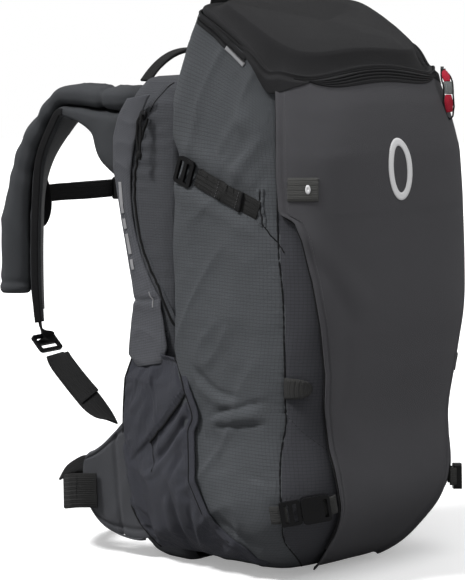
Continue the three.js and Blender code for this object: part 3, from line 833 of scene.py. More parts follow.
def seam_relief(points, lines, groove, pull, reach, pucker, seed=0.0):
    """How far fabric dips at a seam, with small puckers square to it."""
    far, run = Lines(lines).near(points)
    phase = 2 * math.pi * run / PUCKER_PITCH + 2.2 * wander(points, 30, seed)
    ripple = np.sin(phase) * np.exp(-far / (reach * 0.7)) * (1 - np.exp(-far / 2.5))
    return -groove * bell(far, 2.0) - pull * bell(far, reach) + pucker * ripple


def squared_gaps(across, up, stops, count):
    """The squared distance from each place to each of count points of a smooth flat line."""
    line = curve([(a, b, 0) for a, b in stops], count)[:, :2]
    return np.stack([(across - a) ** 2 + (up - b) ** 2 for a, b in line])


def fold_relief(points, folds):
    """Long soft folds and sharp creases that follow lines of y and z."""
    total = np.zeros(points.shape[:-1])
    for stops, width, height in folds:
        gaps = squared_gaps(points[..., 1], points[..., 2], stops, 60)
        at_end = gaps.argmin(axis=0) / (len(gaps) - 1)
        fade = np.clip(np.minimum(at_end, 1 - at_end) * 6, 0.25, 1)
        total += height * fade * bell(np.sqrt(gaps.min(axis=0)), width)
    return total


def bag_relief(points, turns):
    """The bag's folds, seams and lumps, as a height above its plain outline."""
    seams = [seam_line(GUSSET_SEAM, side) for side in (-1, 1)]
    cross = [seam_line(CROSS_SEAM, side, count=60) for side in (-1, 1)]
    relief = seam_relief(points, seams, groove=2.2, pull=2.6, reach=16, pucker=0.9, seed=3.0)
    relief += seam_relief(points, cross, groove=1.4, pull=0.8, reach=7, pucker=0.3)
    to_side = ramp(np.abs(turns), 0.68, 0.78) * ramp(np.abs(turns), 1.7, 1.5)
    relief += 2.1 * to_side * fold_relief(points, SIDE_FOLDS)
    strap_z = PRESSED["z"] + (points[..., 1] - PRESSED["y"]) * PRESSED["slope"]
    strap = np.abs(points[..., 2] - strap_z)
    on_strap = to_side * (points[..., 1] > -100)
    relief += on_strap * (2.2 * bell(strap - 24, 10) - 2.6 * bell(strap, 13))
    relief += 2.0 * wander(points, 75, 1.0) + 1.2 * wander(points, 26, 5.0)
    slanted = points @ np.array([[1, 0, 0], [0, 0.8, 0.6], [0, -0.6, 0.8]]).T
    relief += to_side * (2.6 * creases(slanted, 70, 9.0, (1, 1.5, 0.5)) + 0.5 * wander(points, 9, 2.0))
    behind = ramp(np.abs(turns), 1.25, 1.45)
    relief -= behind * 1.5
    under_panel = ramp(np.abs(turns), 0.62, 0.56)
    relief = relief * (1 - 0.7 * under_panel) - 1.4 * under_panel
    near_rim = np.clip((rim_height(points[..., 0], points[..., 1]) - points[..., 2]) / 14, 0, 1)
    near_floor = np.clip(points[..., 2] / 22, 0, 1)
    return relief * near_rim * near_floor


def even_levels(count, first=0.0):
    """Levels that are evenly spaced up the bag's side."""
    run = run_along(CORNER_LINE)
    start = np.interp(first, FINE_LEVELS, run)
    return np.interp(np.linspace(start, run[-1], count), run, FINE_LEVELS)


def make_bag():
    turns = np.linspace(-2, 2, BAG_COLUMNS, endpoint=False)
    grid = np.stack([bag_points(k, turns) for k in even_levels(BAG_ROWS)])
    normals = grid_normals(grid, True)
    relief = bag_relief(grid, np.broadcast_to(turns, grid.shape[:2]))
    grid = grid + normals * relief[..., None]
    middle = np.array([0, BAG_WAIST_Y, 0.0])
    base = [middle + (grid[0] - middle) * s + (0, 0, 0.6 * (1 - s)) for s in BASE_RINGS]
    grid = np.concatenate([np.stack(base), grid])
    bag = sheet("bag_shell", grid, 2.0, closed=True)
    place(bag, "pack", RIPSTOP, ["main_bag"])
    paint_gusset_shade(bag, grid, turns)
    return grid


def paint_gusset_shade(bag, grid, turns):
    """Gives the cloth ahead of the gusset seam a darker copy of the side ripstop, as painted shade."""
    bag.data.materials.append(GUSSET_PAINTED_SHADE)
    corner = np.abs(turns - 0.65).argmin()
    seam = 1 - np.interp(grid[:, corner, 2], *np.array(GUSSET_SEAM).T)
    ahead = (np.abs(turns)[None, :] < seam[:, None]).ravel()
    for polygon in bag.data.polygons:
        polygon.material_index = int(ahead[polygon.vertices[0] % len(ahead)])


class Surface:
    """A grid that things can be laid on, by a ray from outside."""

    def __init__(self, grid, closed):
        rows, columns = grid.shape[:2]
        wide = columns if closed else columns - 1
        faces = [(r * columns + c, r * columns + (c + 1) % columns,
                  (r + 1) * columns + (c + 1) % columns, (r + 1) * columns + c)
                 for r in range(rows - 1) for c in range(wide)]
        self.tree = BVHTree.FromPolygons([tuple(p) for p in grid.reshape(-1, 3)], faces)

    def lay(self, points, towards, lift=0.0):
        """Each point moved along towards until it meets the surface, and the surface's normals there."""
        way = Vector(towards).normalized()
        places = []
        normals = []
        for p in np.asarray(points, float):
            hit, normal, _, _ = self.tree.ray_cast(Vector(p) - way * 300, way)
            if hit is None:
                hit, normal, _, _ = self.tree.find_nearest(Vector(p))
            if normal.dot(way) > 0:
                normal = -normal
            places.append(hit + normal * lift)
            normals.append(normal)
        return np.array(places), np.array(normals)

    def on_side(self, stops, side, lift=0.0, count=None):
        """Stops of y and z, laid on the surface from one side."""
        line = [(side * 250, y, z) for y, z in stops]
        line = curve(line, count) if count else line
        return self.lay(line, (-side, 0, 0), lift)

    def on_front(self, stops, lift=0.0):
        """Stops of x and z, laid on the surface from the front."""
        return self.lay([(x, -250, z) for x, z in stops], (0, 1, 0), lift)


bag_grid = make_bag()
on_bag = Surface(bag_grid, True)

# ---------- the front panel ----------

SHEET_LIFT = 3.2
PANEL_TOP = 511
# the share of the way to the front, at the rim, of the seam that the gusset and panel share
RIM_SEAM = 0.345
# folds on the front panel: points as x and z, half width, height
SHEET_FOLDS = [
    (((-128, 372), (-100, 338), (-66, 300)), 12, 1.6),
    (((-130, 352), (-104, 318), (-80, 280)), 9, -1.3),
    (((-100, 214), (-84, 170), (-60, 150)), 16, 1.4),
    (((-90, 128), (-70, 112), (-30, 108)), 14, 1.2),
    (((-96, 300), (-84, 240), (-86, 190)), 10, -1.0),
]


def panel_turn(z):
    """The turn of the front panel's edge at height z, as a positive number."""
    heights = [stop[0] for stop in PANEL_EDGE]
    return 1 - np.interp(z, heights, [stop[1] for stop in PANEL_EDGE])


def sheet_relief(grid, spread):
    """Lumps and long folds, a fuller edge low down, and a stitched hem along both edges."""
    relief = 1.3 * wander(grid, 110, 21.0) + 0.45 * wander(grid, 40, 23.0)
    for stops, width, height in SHEET_FOLDS:
        gaps = squared_gaps(grid[..., 0], grid[..., 2], stops, 50).min(axis=0)
        relief += height * bell(np.sqrt(gaps), width)
    edge = 1 - np.abs(spread)
    relief += 3.5 * ramp(grid[..., 2], 190, 70) * bell(edge, 0.07)
    relief -= 0.9 * bell(edge - 0.045, 0.012)
    relief += 0.5 * bell(edge, 0.03)
    return relief


def make_front_sheet():
    """The smooth sheet over the middle of the front, from under the base up to the lid's zip."""
    spread = np.linspace(-1, 1, 190)
    rows = []
    for level in even_levels(190, first=level_at(10)):
        middle = bag_points(level, [0.0])[0, 2]
        height = min(middle, PANEL_TOP) if level < 7 else PANEL_TOP - (RIM_LEVEL - level) * 27
        turn = panel_turn(height)
        rows.append(bag_points(level, spread * turn))
    grid = np.stack(rows)
    relief = sheet_relief(grid, np.broadcast_to(spread, grid.shape[:2]))
    to_rim = np.linspace(0, 1, len(grid))[:, None]
    relief *= np.clip((1 - to_rim) * 16, 0, 1)
    lift = SHEET_LIFT - 2.2 * ramp(to_rim, 0.93, 1)
    grid = grid + grid_normals(grid, False) * (relief + lift)[..., None]
    panel = sheet("front_sheet", grid, 1.6)
    place(panel, "pack", FRONT_CLOTH, ["front_panel"])
    return grid


sheet_grid = make_front_sheet()
on_sheet = Surface(sheet_grid, False)

# ---------- the lid and its zips ----------

# share of the rim's size, and height above the rim, from the outer edge inwards
LID_PROFILE = [(0.90, 1.6), (0.975, 0.7), (0.985, 2.2), (0.985, 5), (0.97, 9), (0.94, 12.2),
               (0.87, 14.6), (0.75, 16), (0.58, 16.8), (0.38, 17.1), (0.2, 17.2), (0.02, 17.2)]
# the lid's half width, which turns shares into millimetres while the profile is spaced out
LID_HALF = 130
LID_MIDDLE = (RIM["front"] + RIM["rear"]) / 2


def make_lid():
    """A padded cap that follows the rim, with a rolled edge and soft dents."""
    turns = np.linspace(-2, 2, 280, endpoint=False)
    edge = bag_points(RIM_LEVEL, turns)
    rows = []
    for size, lift, _ in curve([(s * LID_HALF, h, 0) for s, h in LID_PROFILE], 64):
        share = size / LID_HALF
        x = edge[:, 0] * share
        y = LID_MIDDLE + (edge[:, 1] - LID_MIDDLE) * share
        outer = min(max((share - 0.8) / 0.12, 0), 1)
        level = rim_height(x, y) * (1 - outer) + (edge[:, 2] - 120 * (1 - share)) * outer
        rows.append(np.stack([x, y, level + lift], axis=-1))
    grid = np.stack(rows)
    inner = np.clip((grid[..., 2] - rim_height(grid[..., 0], grid[..., 1]) - 3) / 12, 0, 1)
    relief = 1.3 * wander(grid, 80, 31.0) + 0.8 * creases(grid, 90, 37.0, (0.6, 1, 1))
    relief += 0.3 * wander(grid, 14, 33.0)
    grid[..., 2] += relief * inner
    lid = solid("lid_shell", grid)
    place(lid, "lid", LID_CLOTH, ["lid"])


def away_from_rim(rim):
    """The level ways that point outwards from the bag, at points of its rim."""
    return units(rim * (1, 1, 0) - (0, BAG_WAIST_Y - 20, 0))


def rim_line(first, last, below, out):
    """A line along the rim, below it and out from it."""
    points = bag_points(RIM_LEVEL, np.linspace(first, last, 160))
    away = away_from_rim(points)
    return points + away * out - (0, 0, below), away


def stops_of(points, outs, width, thick):
    """Sweep stops from points, the ways their broad faces look, one width and one thickness."""
    rest = np.tile([width, thick], (len(points), 1))
    return np.column_stack([points, outs, rest])


def tube(name, points, radius, count=None, tip=1.0):
    """A round cord along points. tip is its thickness at the far end, as a share of the rest."""
    points = np.asarray(points, float)
    along = units(np.gradient(points, axis=0))
    guess = np.tile([0.31, 0.52, 0.79], (len(points), 1))
    outs = units(np.cross(along, guess))
    stops = stops_of(points, outs, 2 * radius, 2 * radius)
    stops[-1, 6:] *= tip
    return solid(name, sweep(stops, count or len(points), oval(8, 1)))


def ribbon(name, stops, count, section=TAPE):
    """Flat webbing, or a padded strip with another section."""
    return solid(name, sweep(stops, count, section))


# the lid's zip: its ends as turns, the half width of the cloth that shows under it, and that
# cloth's depth in the middle
LID_ZIP = {"turn": 0.565, "half": 103, "depth": 12}
# the pocket zip beside the lid and its reflective flash, as y and z
POCKET_ZIP = [(6, 586), (-12, 576), (-34, 561), (-58, 543)]
POCKET_FLASH = [(-34, 557), (-46, 548.5), (-58, 539.5)]


def make_zip_band():
    """The lid's gathered cloth below its zip, across the front."""
    rim = bag_points(RIM_LEVEL, np.linspace(-LID_ZIP["turn"], LID_ZIP["turn"], 300))
    rim = rim[np.abs(rim[:, 0]) < LID_ZIP["half"]]
    reach = np.abs(rim[:, 0] / rim[0, 0])
    rows = []
    for share in np.linspace(0, 1, 36):
        z = rim[:, 2] - 1 - share * LID_ZIP["depth"] * (1 - reach**4)
        points, normals = on_sheet.on_front(np.column_stack([rim[:, 0] * 0.985, z]))
        gather = np.sin(share * 24 + 3 * wander(points, 60, 4.0, (1, 1, 0.2)))
        lift = 1.5 + 1.1 * gather * (1 - share**3)
        rows.append(points + normals * lift[:, None])
    place(sheet("lid_zip_band", np.stack(rows), 1.0), "pack", LID_CLOTH)


def make_lid_zip():
    points, away = rim_line(-LID_ZIP["turn"], LID_ZIP["turn"], 1.2, 1.6)
    tape = ribbon("lid_zip_tape", stops_of(points, away, 7, 1.4), 160)
    place(tape, "pack", DARK_EDGE)
    teeth = dashes("lid_zip_teeth", points + away * 0.7, away, (3.4, 0.9, 1.0), 1.6, across=True)
    place(teeth, "pack", HARD_PLASTIC)


def make_rim_trim(side_name, side):
    """The piping along the rim behind the zip, and the pocket zip with its flash."""
    points, _ = rim_line(side * (1 - RIM_SEAM), side * 1.96, 0.6, 0.6)
    place(tube(f"rim_piping_{side_name}", points, 1.5), "pack", DARK_EDGE)
    points, normals = on_bag.on_side(POCKET_ZIP, side, 1.0, 40)
    garage = ribbon(f"pocket_zip_{side_name}", stops_of(points, normals, 11, 1.6), 60)
    place(garage, "pack", LID_CLOTH)
    teeth = dashes(f"pocket_teeth_{side_name}", points + normals * 0.8, normals, (3, 0.8, 0.9), 1.5, True)
    place(teeth, "pack", HARD_PLASTIC)
    points, normals = on_bag.on_side(POCKET_FLASH, side, 1.6, 16)
    flash = ribbon(f"pocket_flash_{side_name}", stops_of(points, normals, 5, 1.2), 24)
    place(flash, "pack", DIM_FILM)


def make_lid_corner(side_name, side):
    """The lid's cloth where it dips over the top of the gusset seam."""
    turns = np.linspace(-0.86, -0.44, 90)
    rim = bag_points(RIM_LEVEL, turns)
    away = away_from_rim(rim)
    ends = 1 - np.linspace(-1, 1, 90) ** 4
    above = 6 * ends
    drop = 4 * ends + 13 * bell(turns + 1 - RIM_SEAM, 0.085)
    rows = []
    for share in np.linspace(0, 1, 20):
        height = rim[:, 2] + above - (above + drop) * share
        spots = np.column_stack([rim[:, :2], height])
        points, _ = on_bag.lay(spots, (0.75, 0.66, 0))
        points[:, 2] = height
        below = (rim[:, 2] - height)[:, None]
        points = np.where(below > 0, points, spots)
        lift = 0.4 + 4.4 * np.clip((below + 2) / 4, 0, 1)
        rows.append(points + away * (lift * ends[:, None] - 0.6))
    corner = sheet(f"lid_corner_{side_name}", mirror_x(np.stack(rows), side), 1.4)
    place(corner, "lid", LID_CLOTH)


# the cloth at the lid's hinge: height and lift off the bag below the rim, then y and z above it
HINGE_LOWER = [(580, 0.9), (585, 1.4), (590, 2.2)]
HINGE_UPPER = [(21.6, 594), (21.4, 597.5), (20.8, 601), (19.8, 604.5), (18.4, 608)]


def make_lid_hinge():
    """The cloth that joins the lid to the bag along the rear rim."""
    across = np.linspace(106, -106, 100)
    rows = []
    for z, lift in HINGE_LOWER:
        rows.append(on_bag.lay([(x, 200, z) for x in across], (0, -1, 0), lift)[0])
    for y, z in HINGE_UPPER:
        rows.append(np.array([(x, y, z) for x in across]))
    joining = sheet("lid_hinge_cloth", np.stack(rows), 1.2)
    place(joining, ("pack", "lid", (0, 0.020, 0.592), (0, 0.020, 0.603)), LID_CLOTH)


make_lid()
make_zip_band()
make_lid_zip()
both(make_rim_trim)
make_lid_hinge()
both(make_lid_corner)

# ---------- seams, tabs and marks on the bag ----------


def make_gusset_trim(side_name, side):
    """The welt and the two rows of stitches of the gusset seam, and the short seam across it."""
    line = seam_line(GUSSET_SEAM, side, count=200)
    towards = (-side * 0.8, 0.6, 0)
    points, normals = on_bag.lay(line, towards, 0.5)
    place(tube(f"gusset_welt_{side_name}", points[::2], 1.15), "pack", DARK_EDGE)
    for name, offset in (("a", 5), ("b", -5)):
        shifted = points + np.cross(normals, [0, 0, 1]) * offset * side
        seat, out = on_bag.lay(shifted, towards)
        stitch = dashes(f"gusset_stitch_{name}_{side_name}", seat, out, (2.6, 0.5, 0.35), 3.8)
        place(stitch, "pack", THREAD)
    line = seam_line(CROSS_SEAM, side, count=50)
    seat, _ = on_bag.lay(line, (-side * 0.6, 0.8, 0), 0.3)
    place(tube(f"cross_seam_{side_name}", seat, 0.8), "pack", DARK_EDGE)


# share of the way to the tab's nose, and its lower and upper edge there
TAB_LOOP = [(0, 201, 223), (0.35, 202, 223.5), (0.7, 204, 222), (0.9, 207, 219), (1, 211, 215)]


def make_tab_loop(side_name, side):
    """A folded webbing tab sewn into the gusset seam, its nose pointing forwards."""
    rows = []
    for share, low, high in TAB_LOOP:
        turn = side * (0.613 - 0.115 * share)
        rows.append([bag_points(level_at(z), [turn])[0] for z in np.linspace(low, high, 8)])
    fine = np.stack([curve(row, 12) for row in np.array(rows).transpose(1, 0, 2)])
    points, normals = on_bag.lay(fine.reshape(-1, 3), (-side * 0.6, 0.8, 0))
    bow = np.tile(np.sin(np.linspace(0, 1, 12) * math.pi * 0.9) * 3.2 + 1.6, len(fine))
    points = points + normals * bow[:, None]
    tab = sheet(f"tab_loop_{side_name}", points.reshape(fine.shape), 1.8)
    place(tab, "pack", SEAM_WEBBING)


MARK = {"x": -3, "z": 431, "half_width": 19, "half_height": 32, "band": 8}
TAB_Z = 416
DOT = {"x": -121, "half_width": 2.6, "half_height": 4.6}


def ellipse(x, z, half_width, half_height, count):
    """The x and z of evenly turned points round an ellipse."""
    angles = np.linspace(0, 2 * math.pi, count, endpoint=False)
    return [(x + half_width * math.cos(a), z + half_height * math.sin(a)) for a in angles]


def make_mark():
    """A plain upright ring in the middle of the front."""
    rows = []
    for inset in (0, 0.3, 0.7, 1):
        wide = MARK["half_width"] - inset * MARK["band"]
        tall = MARK["half_height"] - inset * MARK["band"]
        rows.append(on_sheet.on_front(ellipse(MARK["x"], MARK["z"], wide, tall, 72), 1.15)[0])
    mark = sheet("front_mark", np.stack(rows), 0.5, closed=True)
    place(mark, "pack", BRIGHT)


def make_label():
    """A webbing tab at the front panel's edge, with two stitches and a small plain dot."""
    def on_label(spots, lift):
        return on_sheet.lay([(x, -118, z) for x, z in spots], (0.35, 1, 0), lift)

    points, normals = on_label([(x, TAB_Z) for x in np.linspace(-139, -110, 14)], 1.7)
    tab = ribbon("label_tab", stops_of(points, normals, 24, 1.2), 24)
    place(tab, "pack", TAB_WEBBING)
    last, outs = points[[12, 13]], normals[[12, 13]]
    hem = dashes("label_stitch", last + outs * 0.6 + (0, 0, 11), outs, (2, 0.5, 0.4), 3)
    place(hem, "pack", THREAD)
    rows = []
    for share in (0.05, 0.6, 1):
        ring = ellipse(DOT["x"], TAB_Z, DOT["half_width"] * share, DOT["half_height"] * share, 24)
        rows.append(on_label(ring, 2.7)[0])
    dot = sheet("label_dot", np.stack(rows), 0.4, closed=True)
    place(dot, "pack", BRIGHT)


def make_panel_gap_shade(side_name, side):
    """A dark cord just under the front panel's edge: painted shade in the gap where the edge lifts off the
    gusset.
    """
    column = 0 if side < 0 else -1
    normals = grid_normals(sheet_grid, False)
    line = sheet_grid[18:-8:2, column] - normals[18:-8:2, column] * 2.2
    # a dark cord 2.2 mm under the panel's edge, as painted shade in the gap
    shade = tube(f"panel_gap_shade_{side_name}", line, 1.2, count=200)
    place(shade, "pack", DARK_EDGE)


def make_panel_stitches(side_name, side):
    """The stitches along the front panel's folded edge."""
    column = 6 if side < 0 else -7
    line = sheet_grid[4:-6, column]
    out = grid_normals(sheet_grid, False)[4:-6, column]
    stitch = dashes(f"panel_stitch_{side_name}", line + out * 0.7, out, (2.6, 0.5, 0.4), 3.8)
    place(stitch, "pack", THREAD)


both(make_gusset_trim, make_tab_loop)
make_mark()
make_label()
both(make_panel_gap_shade)
both(make_panel_stitches)

# ---------- the harness unit and its covers ----------


# share of the way out from the hinge line, and height, of the rings that close the unit's top
UNIT_TOP = [(0.985, 2.6), (0.955, 4.6), (0.9, 6), (0.75, 7), (0.5, 7.6), (0.25, 8), (0.01, 8)]
UNIT_BASE = [0.01, 0.8, 0.95]
# the turns where the unit's cloth ends beside the bag, counted on past the middle of the rear
UNIT_TURNS = (0.72, 3.28)


def unit_points(level, turn):
    """The points of the harness unit's plain outline, as bag_points for the bag."""
    z, half, rear = smooth_value(np.array(UNIT_LEVELS, float), level)
    x, y = outline(half, UNIT_FRONT, rear, UNIT_WAIST_Y, UNIT_ROUNDING, turn)
    return np.stack([x, y, np.full(len(x), z)], axis=-1)


def arc_point(radius, degrees):
    """A point as y and z, on a circle about the middle of the burst zip's arc."""
    angle = math.radians(degrees)
    return BURST["y"] + radius * math.cos(angle), BURST["z"] + radius * math.sin(angle)


def unit_relief(points):
    """Soft folds, and the short level wrinkles between the burst zip and the bag."""
    relief = 1.2 * wander(points, 60, 51.0) + 0.9 * creases(points, 55, 53.0, (1, 1, 2.2))
    to_arc = np.hypot(points[..., 1] - BURST["y"], points[..., 2] - BURST["z"]) - BURST["radius"]
    side = ramp(np.abs(points[..., 0]), 96, 108)
    strip = side * bell(to_arc + 14, 20)
    ripple = np.sin(points[..., 2] * 0.42 + 3 * wander(points, 45, 57.0)) * (0.4 + wander(points, 60, 58.0))
    relief += strip * (1.8 + 1.5 * ripple)
    relief += side * 2.2 * bell(to_arc, 12)
    relief -= side * 1.6 * bell(points[..., 1] - 62, 6)
    corner = bell(np.abs(points[..., 0]) - 120, 14) * ramp(points[..., 1], 96, 110)
    relief -= 9 * corner * bell(points[..., 2] - 285, 48)
    return relief * np.clip(points[..., 2] / 25, 0, 1)


def make_unit():
    around = np.linspace(*UNIT_TURNS, 230)
    turns = np.where(around <= 2, around, around - 4)
    rows = [unit_points(k, turns) for k in np.linspace(0, len(UNIT_LEVELS) - 1, 150)]
    front = np.array([0, UNIT_FRONT, 0])
    top = [front + (rows[-1] - front) * (s, s, 1) + (0, 0, up) for s, up in UNIT_TOP]
    base = [front + (rows[0] - front) * (s, s, 1) for s in UNIT_BASE]
    grid = np.stack(base + rows + top)
    walls = slice(len(UNIT_BASE), -len(UNIT_TOP))
    grid[walls] += (grid_normals(grid, False) * unit_relief(grid)[..., None])[walls]
    shell = sheet("unit_shell", grid, 2.0)
    place(shell, "pack", UNIT_CLOTH, ["harness_unit"])
    return grid


unit_grid = make_unit()
on_unit = Surface(unit_grid, False)

# the cover's front and rear edges: share of the way up, y and z
COVER_FRONT = [(0, 68, 219), (0.06, 62, 236)]
COVER_REAR = [(0, 106, 211), (0.065, 120, 224), (0.19, 115, 264), (0.25, 110, 284), (0.38, 118, 319),
              (0.56, 129, 366), (0.78, 142, 425), (0.9, 142, 458), (0.96, 134, 482), (1, 120, 500)]
COVER_X = 130.9
# the arc of the front edge in degrees, and the share of the way up where it begins
COVER_ARC = {"first": -40.8, "last": 33.6, "from": 0.22}
# the plain bars beside the rear edge, as shares of the way up
COVER_BARS = [(0.36, 0.40), (0.42, 0.50), (0.52, 0.56), (0.58, 0.70)]


def cover_grid():
    """Points of the left cover, from its chamfered lower end upwards, front edge first."""
    rows, columns = 130, 30
    front = list(COVER_FRONT)
    low = COVER_ARC["from"]
    for share in np.linspace(low, 1, 24):
        sweep_angle = COVER_ARC["last"] - COVER_ARC["first"]
        degrees = COVER_ARC["first"] + sweep_angle * (share - low) / (1 - low)
        front.append((share, *arc_point(BURST["radius"] + 6.5, degrees)))
    front = np.array(front)
    rear = np.array(COVER_REAR)
    grid = np.zeros((rows, columns, 3))
    for r, share in enumerate(np.linspace(0, 1, rows)):
        a = [np.interp(share, front[:, 0], front[:, i]) for i in (1, 2)]
        b = [np.interp(share, rear[:, 0], rear[:, i]) for i in (1, 2)]
        for c, part in enumerate(np.linspace(0, 1, columns)):
            grid[r, c] = (-COVER_X, a[0] + (b[0] - a[0]) * part, a[1] + (b[1] - a[1]) * part)
    return grid


def cover_relief(grid):
    columns = np.broadcast_to(np.linspace(0, 1, grid.shape[1]), grid.shape[:2])
    z = grid[..., 2]
    edge = np.minimum(columns, 1 - columns)
    relief = 2.2 * np.sqrt(np.clip(edge * 4, 0, 1)) - 1.0
    relief += 1.1 * creases(grid, 46, 61.0, (1, 1, 1.6)) * np.clip(edge * 8, 0, 1)
    relief += 0.7 * wander(grid, 24, 63.0)
    relief -= 1.6 * bell(z - 286 + 0.12 * (grid[..., 1] - 90), 2.2)
    relief += 0.9 * bell(z - 278, 5)
    return relief


def make_cover(side_name, side):
    grid = cover_grid()
    grid[..., 0] -= cover_relief(grid)
    grid = mirror_x(grid, side)
    normals = grid_normals(grid, False)
    middle = tuple(n // 2 for n in grid.shape[:2])
    if normals[middle][0] * side < 0:
        normals = -normals
    cover = sheet(f"airbag_cover_{side_name}_cloth", grid, 2.0)
    body = f"airbag_cover_{side_name}"
    place(cover, body, COVER_CLOTH, [f"airbag_cover_{side_name}"])
    hems = [(slice(2, 18), 2), (2, slice(2, -2)), (slice(2, 18), -3)]
    for i, part in enumerate(hems):
        line = grid[part] + normals[part]
        stitch = dashes(f"cover_hem_{i}_{side_name}", line, normals[part], (2.4, 0.5, 0.4), 3.4)
        place(stitch, body, THREAD)
    line = [grid[r, 6] + normals[r, 6] * 1.1 for r in range(26, 34)]
    tack = dashes(f"cover_bartack_{side_name}", line, [normals[30, 6]] * len(line), (1.2, 2.2, 0.6), 1.2)
    place(tack, body, DIM_FILM)
    make_cover_bars(side_name, side, grid, body)


def make_cover_bars(side_name, side, grid, body):
    """A row of plain reflective bars beside the cover's rear edge."""
    surface = Surface(grid, False)
    rear = grid[:, -12]
    rows = np.arange(len(rear))
    for i, (low, high) in enumerate(COVER_BARS):
        spots = np.linspace(low, high, 24) * rows[-1]
        points = np.column_stack([np.interp(spots, rows, rear[:, axis]) for axis in range(3)])
        laid, outs = surface.lay(points, (-side, 0, 0), 1.5)
        bar = ribbon(f"cover_bar_{i}_{side_name}", stops_of(laid, outs, 4.6, 0.5), 40)
        place(bar, body, DIM_FILM)


BURST_FOOT = [(66, 278), (55, 252), (46, 234)]


def make_burst_zip(side_name, side):
    """The closed burst zip, its garage above the slider and its cord-like teeth below."""
    for name, first, last, radius, width in (("tape", 37, -36, 176, 13), ("lip", 37, 27, 178, 7)):
        arc = [arc_point(radius, a) for a in np.linspace(first, last, 90)]
        if name == "tape":
            arc = curve([(*p, 0) for p in arc + BURST_FOOT], 140)[:, :2]
        points, outs = on_unit.on_side(arc, side, 0.9)
        smooth = outs * 0.35 + np.array([side, 0, 0]) * 0.65
        tape = ribbon(f"burst_{name}_{side_name}", stops_of(points, units(smooth), width, 1.3), 180)
        place(tape, "pack", UNIT_CLOTH)
    arc = [arc_point(BURST["radius"], a) for a in np.linspace(25, -37, 90)] + BURST_FOOT
    points, outs = on_unit.on_side(curve([(*p, 0) for p in arc], 150)[:, :2], side, 1.8)
    cord = tube(f"burst_teeth_{side_name}", points, 1.5, count=260)
    place(cord, "pack", BLACK_CORD)
    arc = [arc_point(BURST["radius"] + 2, a) for a in np.linspace(39, 27, 30)]
    points, outs = on_unit.on_side(arc, side, 1.2)
    seam = tube(f"burst_seam_{side_name}", points, 0.8, count=60)
    place(seam, "pack", DARK_EDGE)


both(make_cover, make_burst_zip)

# ---------- the side fairings ----------

# height, y of the front edge, y of the rear edge
FAIRING_EDGES = [(15, -58, 82), (22, -52, 88), (35, -44, 99), (52, -22, 112), (68, -14, 120),
                 (100, 1, 127), (130, 5, 126), (155, 8, 125), (172, 2, 124), (199, 14, 121), (229, 36, 116)]
# how far the cloth stands out from the bag ahead of its widest line, behind it, and from the unit
FAIRING_LIFT = {"front": 3.6, "side": 4.4, "unit": 11}
# the slanting lip of the fairing's pocket and the dart below it, as y and z
FAIRING_LIP = [(20, 200), (34, 184), (50, 168), (66, 152), (82, 137)]
FAIRING_DART = [(82, 137), (72, 118), (66, 104)]
# folds on the fairing: points as y and z, half width, height
FAIRING_FOLDS = [
    (((12, 186), (44, 150), (76, 117)), 5, 3.6),
    (((14, 172), (40, 140), (68, 111)), 4, -4.2),
    (((15, 157), (42, 128), (70, 100)), 6, 4.2),
    (((18, 134), (36, 102), (52, 70)), 5, -4.0),
    (((28, 122), (44, 80), (46, 26)), 6, 3.2),
    (((40, 96), (35, 60), (36, 24)), 4.5, -3.8),
    (((22, 90), (25, 56), (25, 22)), 4, 2.8),
    (((10, 82), (13, 52), (15, 24)), 4, -3.2),
    (((112, 104), (106, 66), (96, 28)), 8, 2.6),
    (((100, 116), (90, 72), (80, 24)), 7, -2.8),
    (((86, 130), (72, 92), (62, 26)), 9, 3.0),
    (((108, 150), (92, 176), (70, 204)), 7, -2.2),
]


def fairing_relief(grid):
    """Folds that fan out from where the cloth is pinched, and fine crinkles between them."""
    up = np.linspace(0, 1, grid.shape[0])[:, None]
    across = np.linspace(0, 1, grid.shape[1])[None, :]
    behind_lip = np.clip((200 - grid[..., 2] - (grid[..., 1] - 20)) / 3, 0, 1)
    tucked = behind_lip * ramp(grid[..., 2], 104, 128)
    relief = fold_relief(grid, FAIRING_FOLDS) - 3.6 * tucked
    relief += 2.6 * creases(grid, 52, 73.0, (1, 1.3, 0.6)) + 1.6 * wander(grid, 34, 77.0)
    edge = np.clip(np.minimum(np.minimum(across, 1 - across) * 7, np.minimum(up, 1 - up) * 9), 0, 1)
    return edge * relief


def make_fairing(side_name, side):
    """Thin loose nylon over the joint between the bag and the unit, wrinkled where it is held."""
    edges = curve(FAIRING_EDGES, 66)
    columns = 72
    heights, halves, _ = np.array(UNIT_LEVELS).T
    grid = np.zeros((len(edges), columns, 3))
    for r, (z, front, rear) in enumerate(edges):
        y = front + (rear - front) * np.linspace(0, 1, columns)
        half = np.interp(z, heights, halves)
        bag = bag_points(level_at(z), [-1.0])[0, 0]
        level = np.full(columns, z)
        outside = np.column_stack([np.full(columns, -250), np.minimum(y, 44), level])
        under = on_bag.lay(outside, (1, 0, 0))[0][:, 0]
        share = np.clip(y / 122, 0, 1)
        ease = share * share * (3 - 2 * share)
        tuck = 8.5 * ramp(z, 198, 222)
        on_bag_side = np.minimum(bag, under) - FAIRING_LIFT["side"]
        out = on_bag_side * (1 - ease) - (half + FAIRING_LIFT["unit"]) * ease + tuck
        x = np.where(y < BAG_WAIST_Y, under - FAIRING_LIFT["front"], out)
        grid[r] = np.stack([x, y, level], axis=-1)
    grid[..., 0] -= fairing_relief(grid)
    grid = mirror_x(grid, side)
    piece = skin(f"fairing_{side_name}", grid)
    rim = [r * columns + c for r in range(len(edges)) for c in (0, 1, columns - 1)]
    rim += [r * columns + c for r in (0, 1, len(edges) - 1) for c in range(columns)]
    crumple(piece, rim, extra=0.045, limit=5)
    settled = np.array([v.co for v in piece.data.vertices]).reshape(grid.shape) / MM
    thicken(piece, 1.2)
    subdivide(piece)
    place(piece, "pack", THIN_NYLON, [f"side_fairing_{side_name}"])
    trim_fairing(side_name, side, settled)


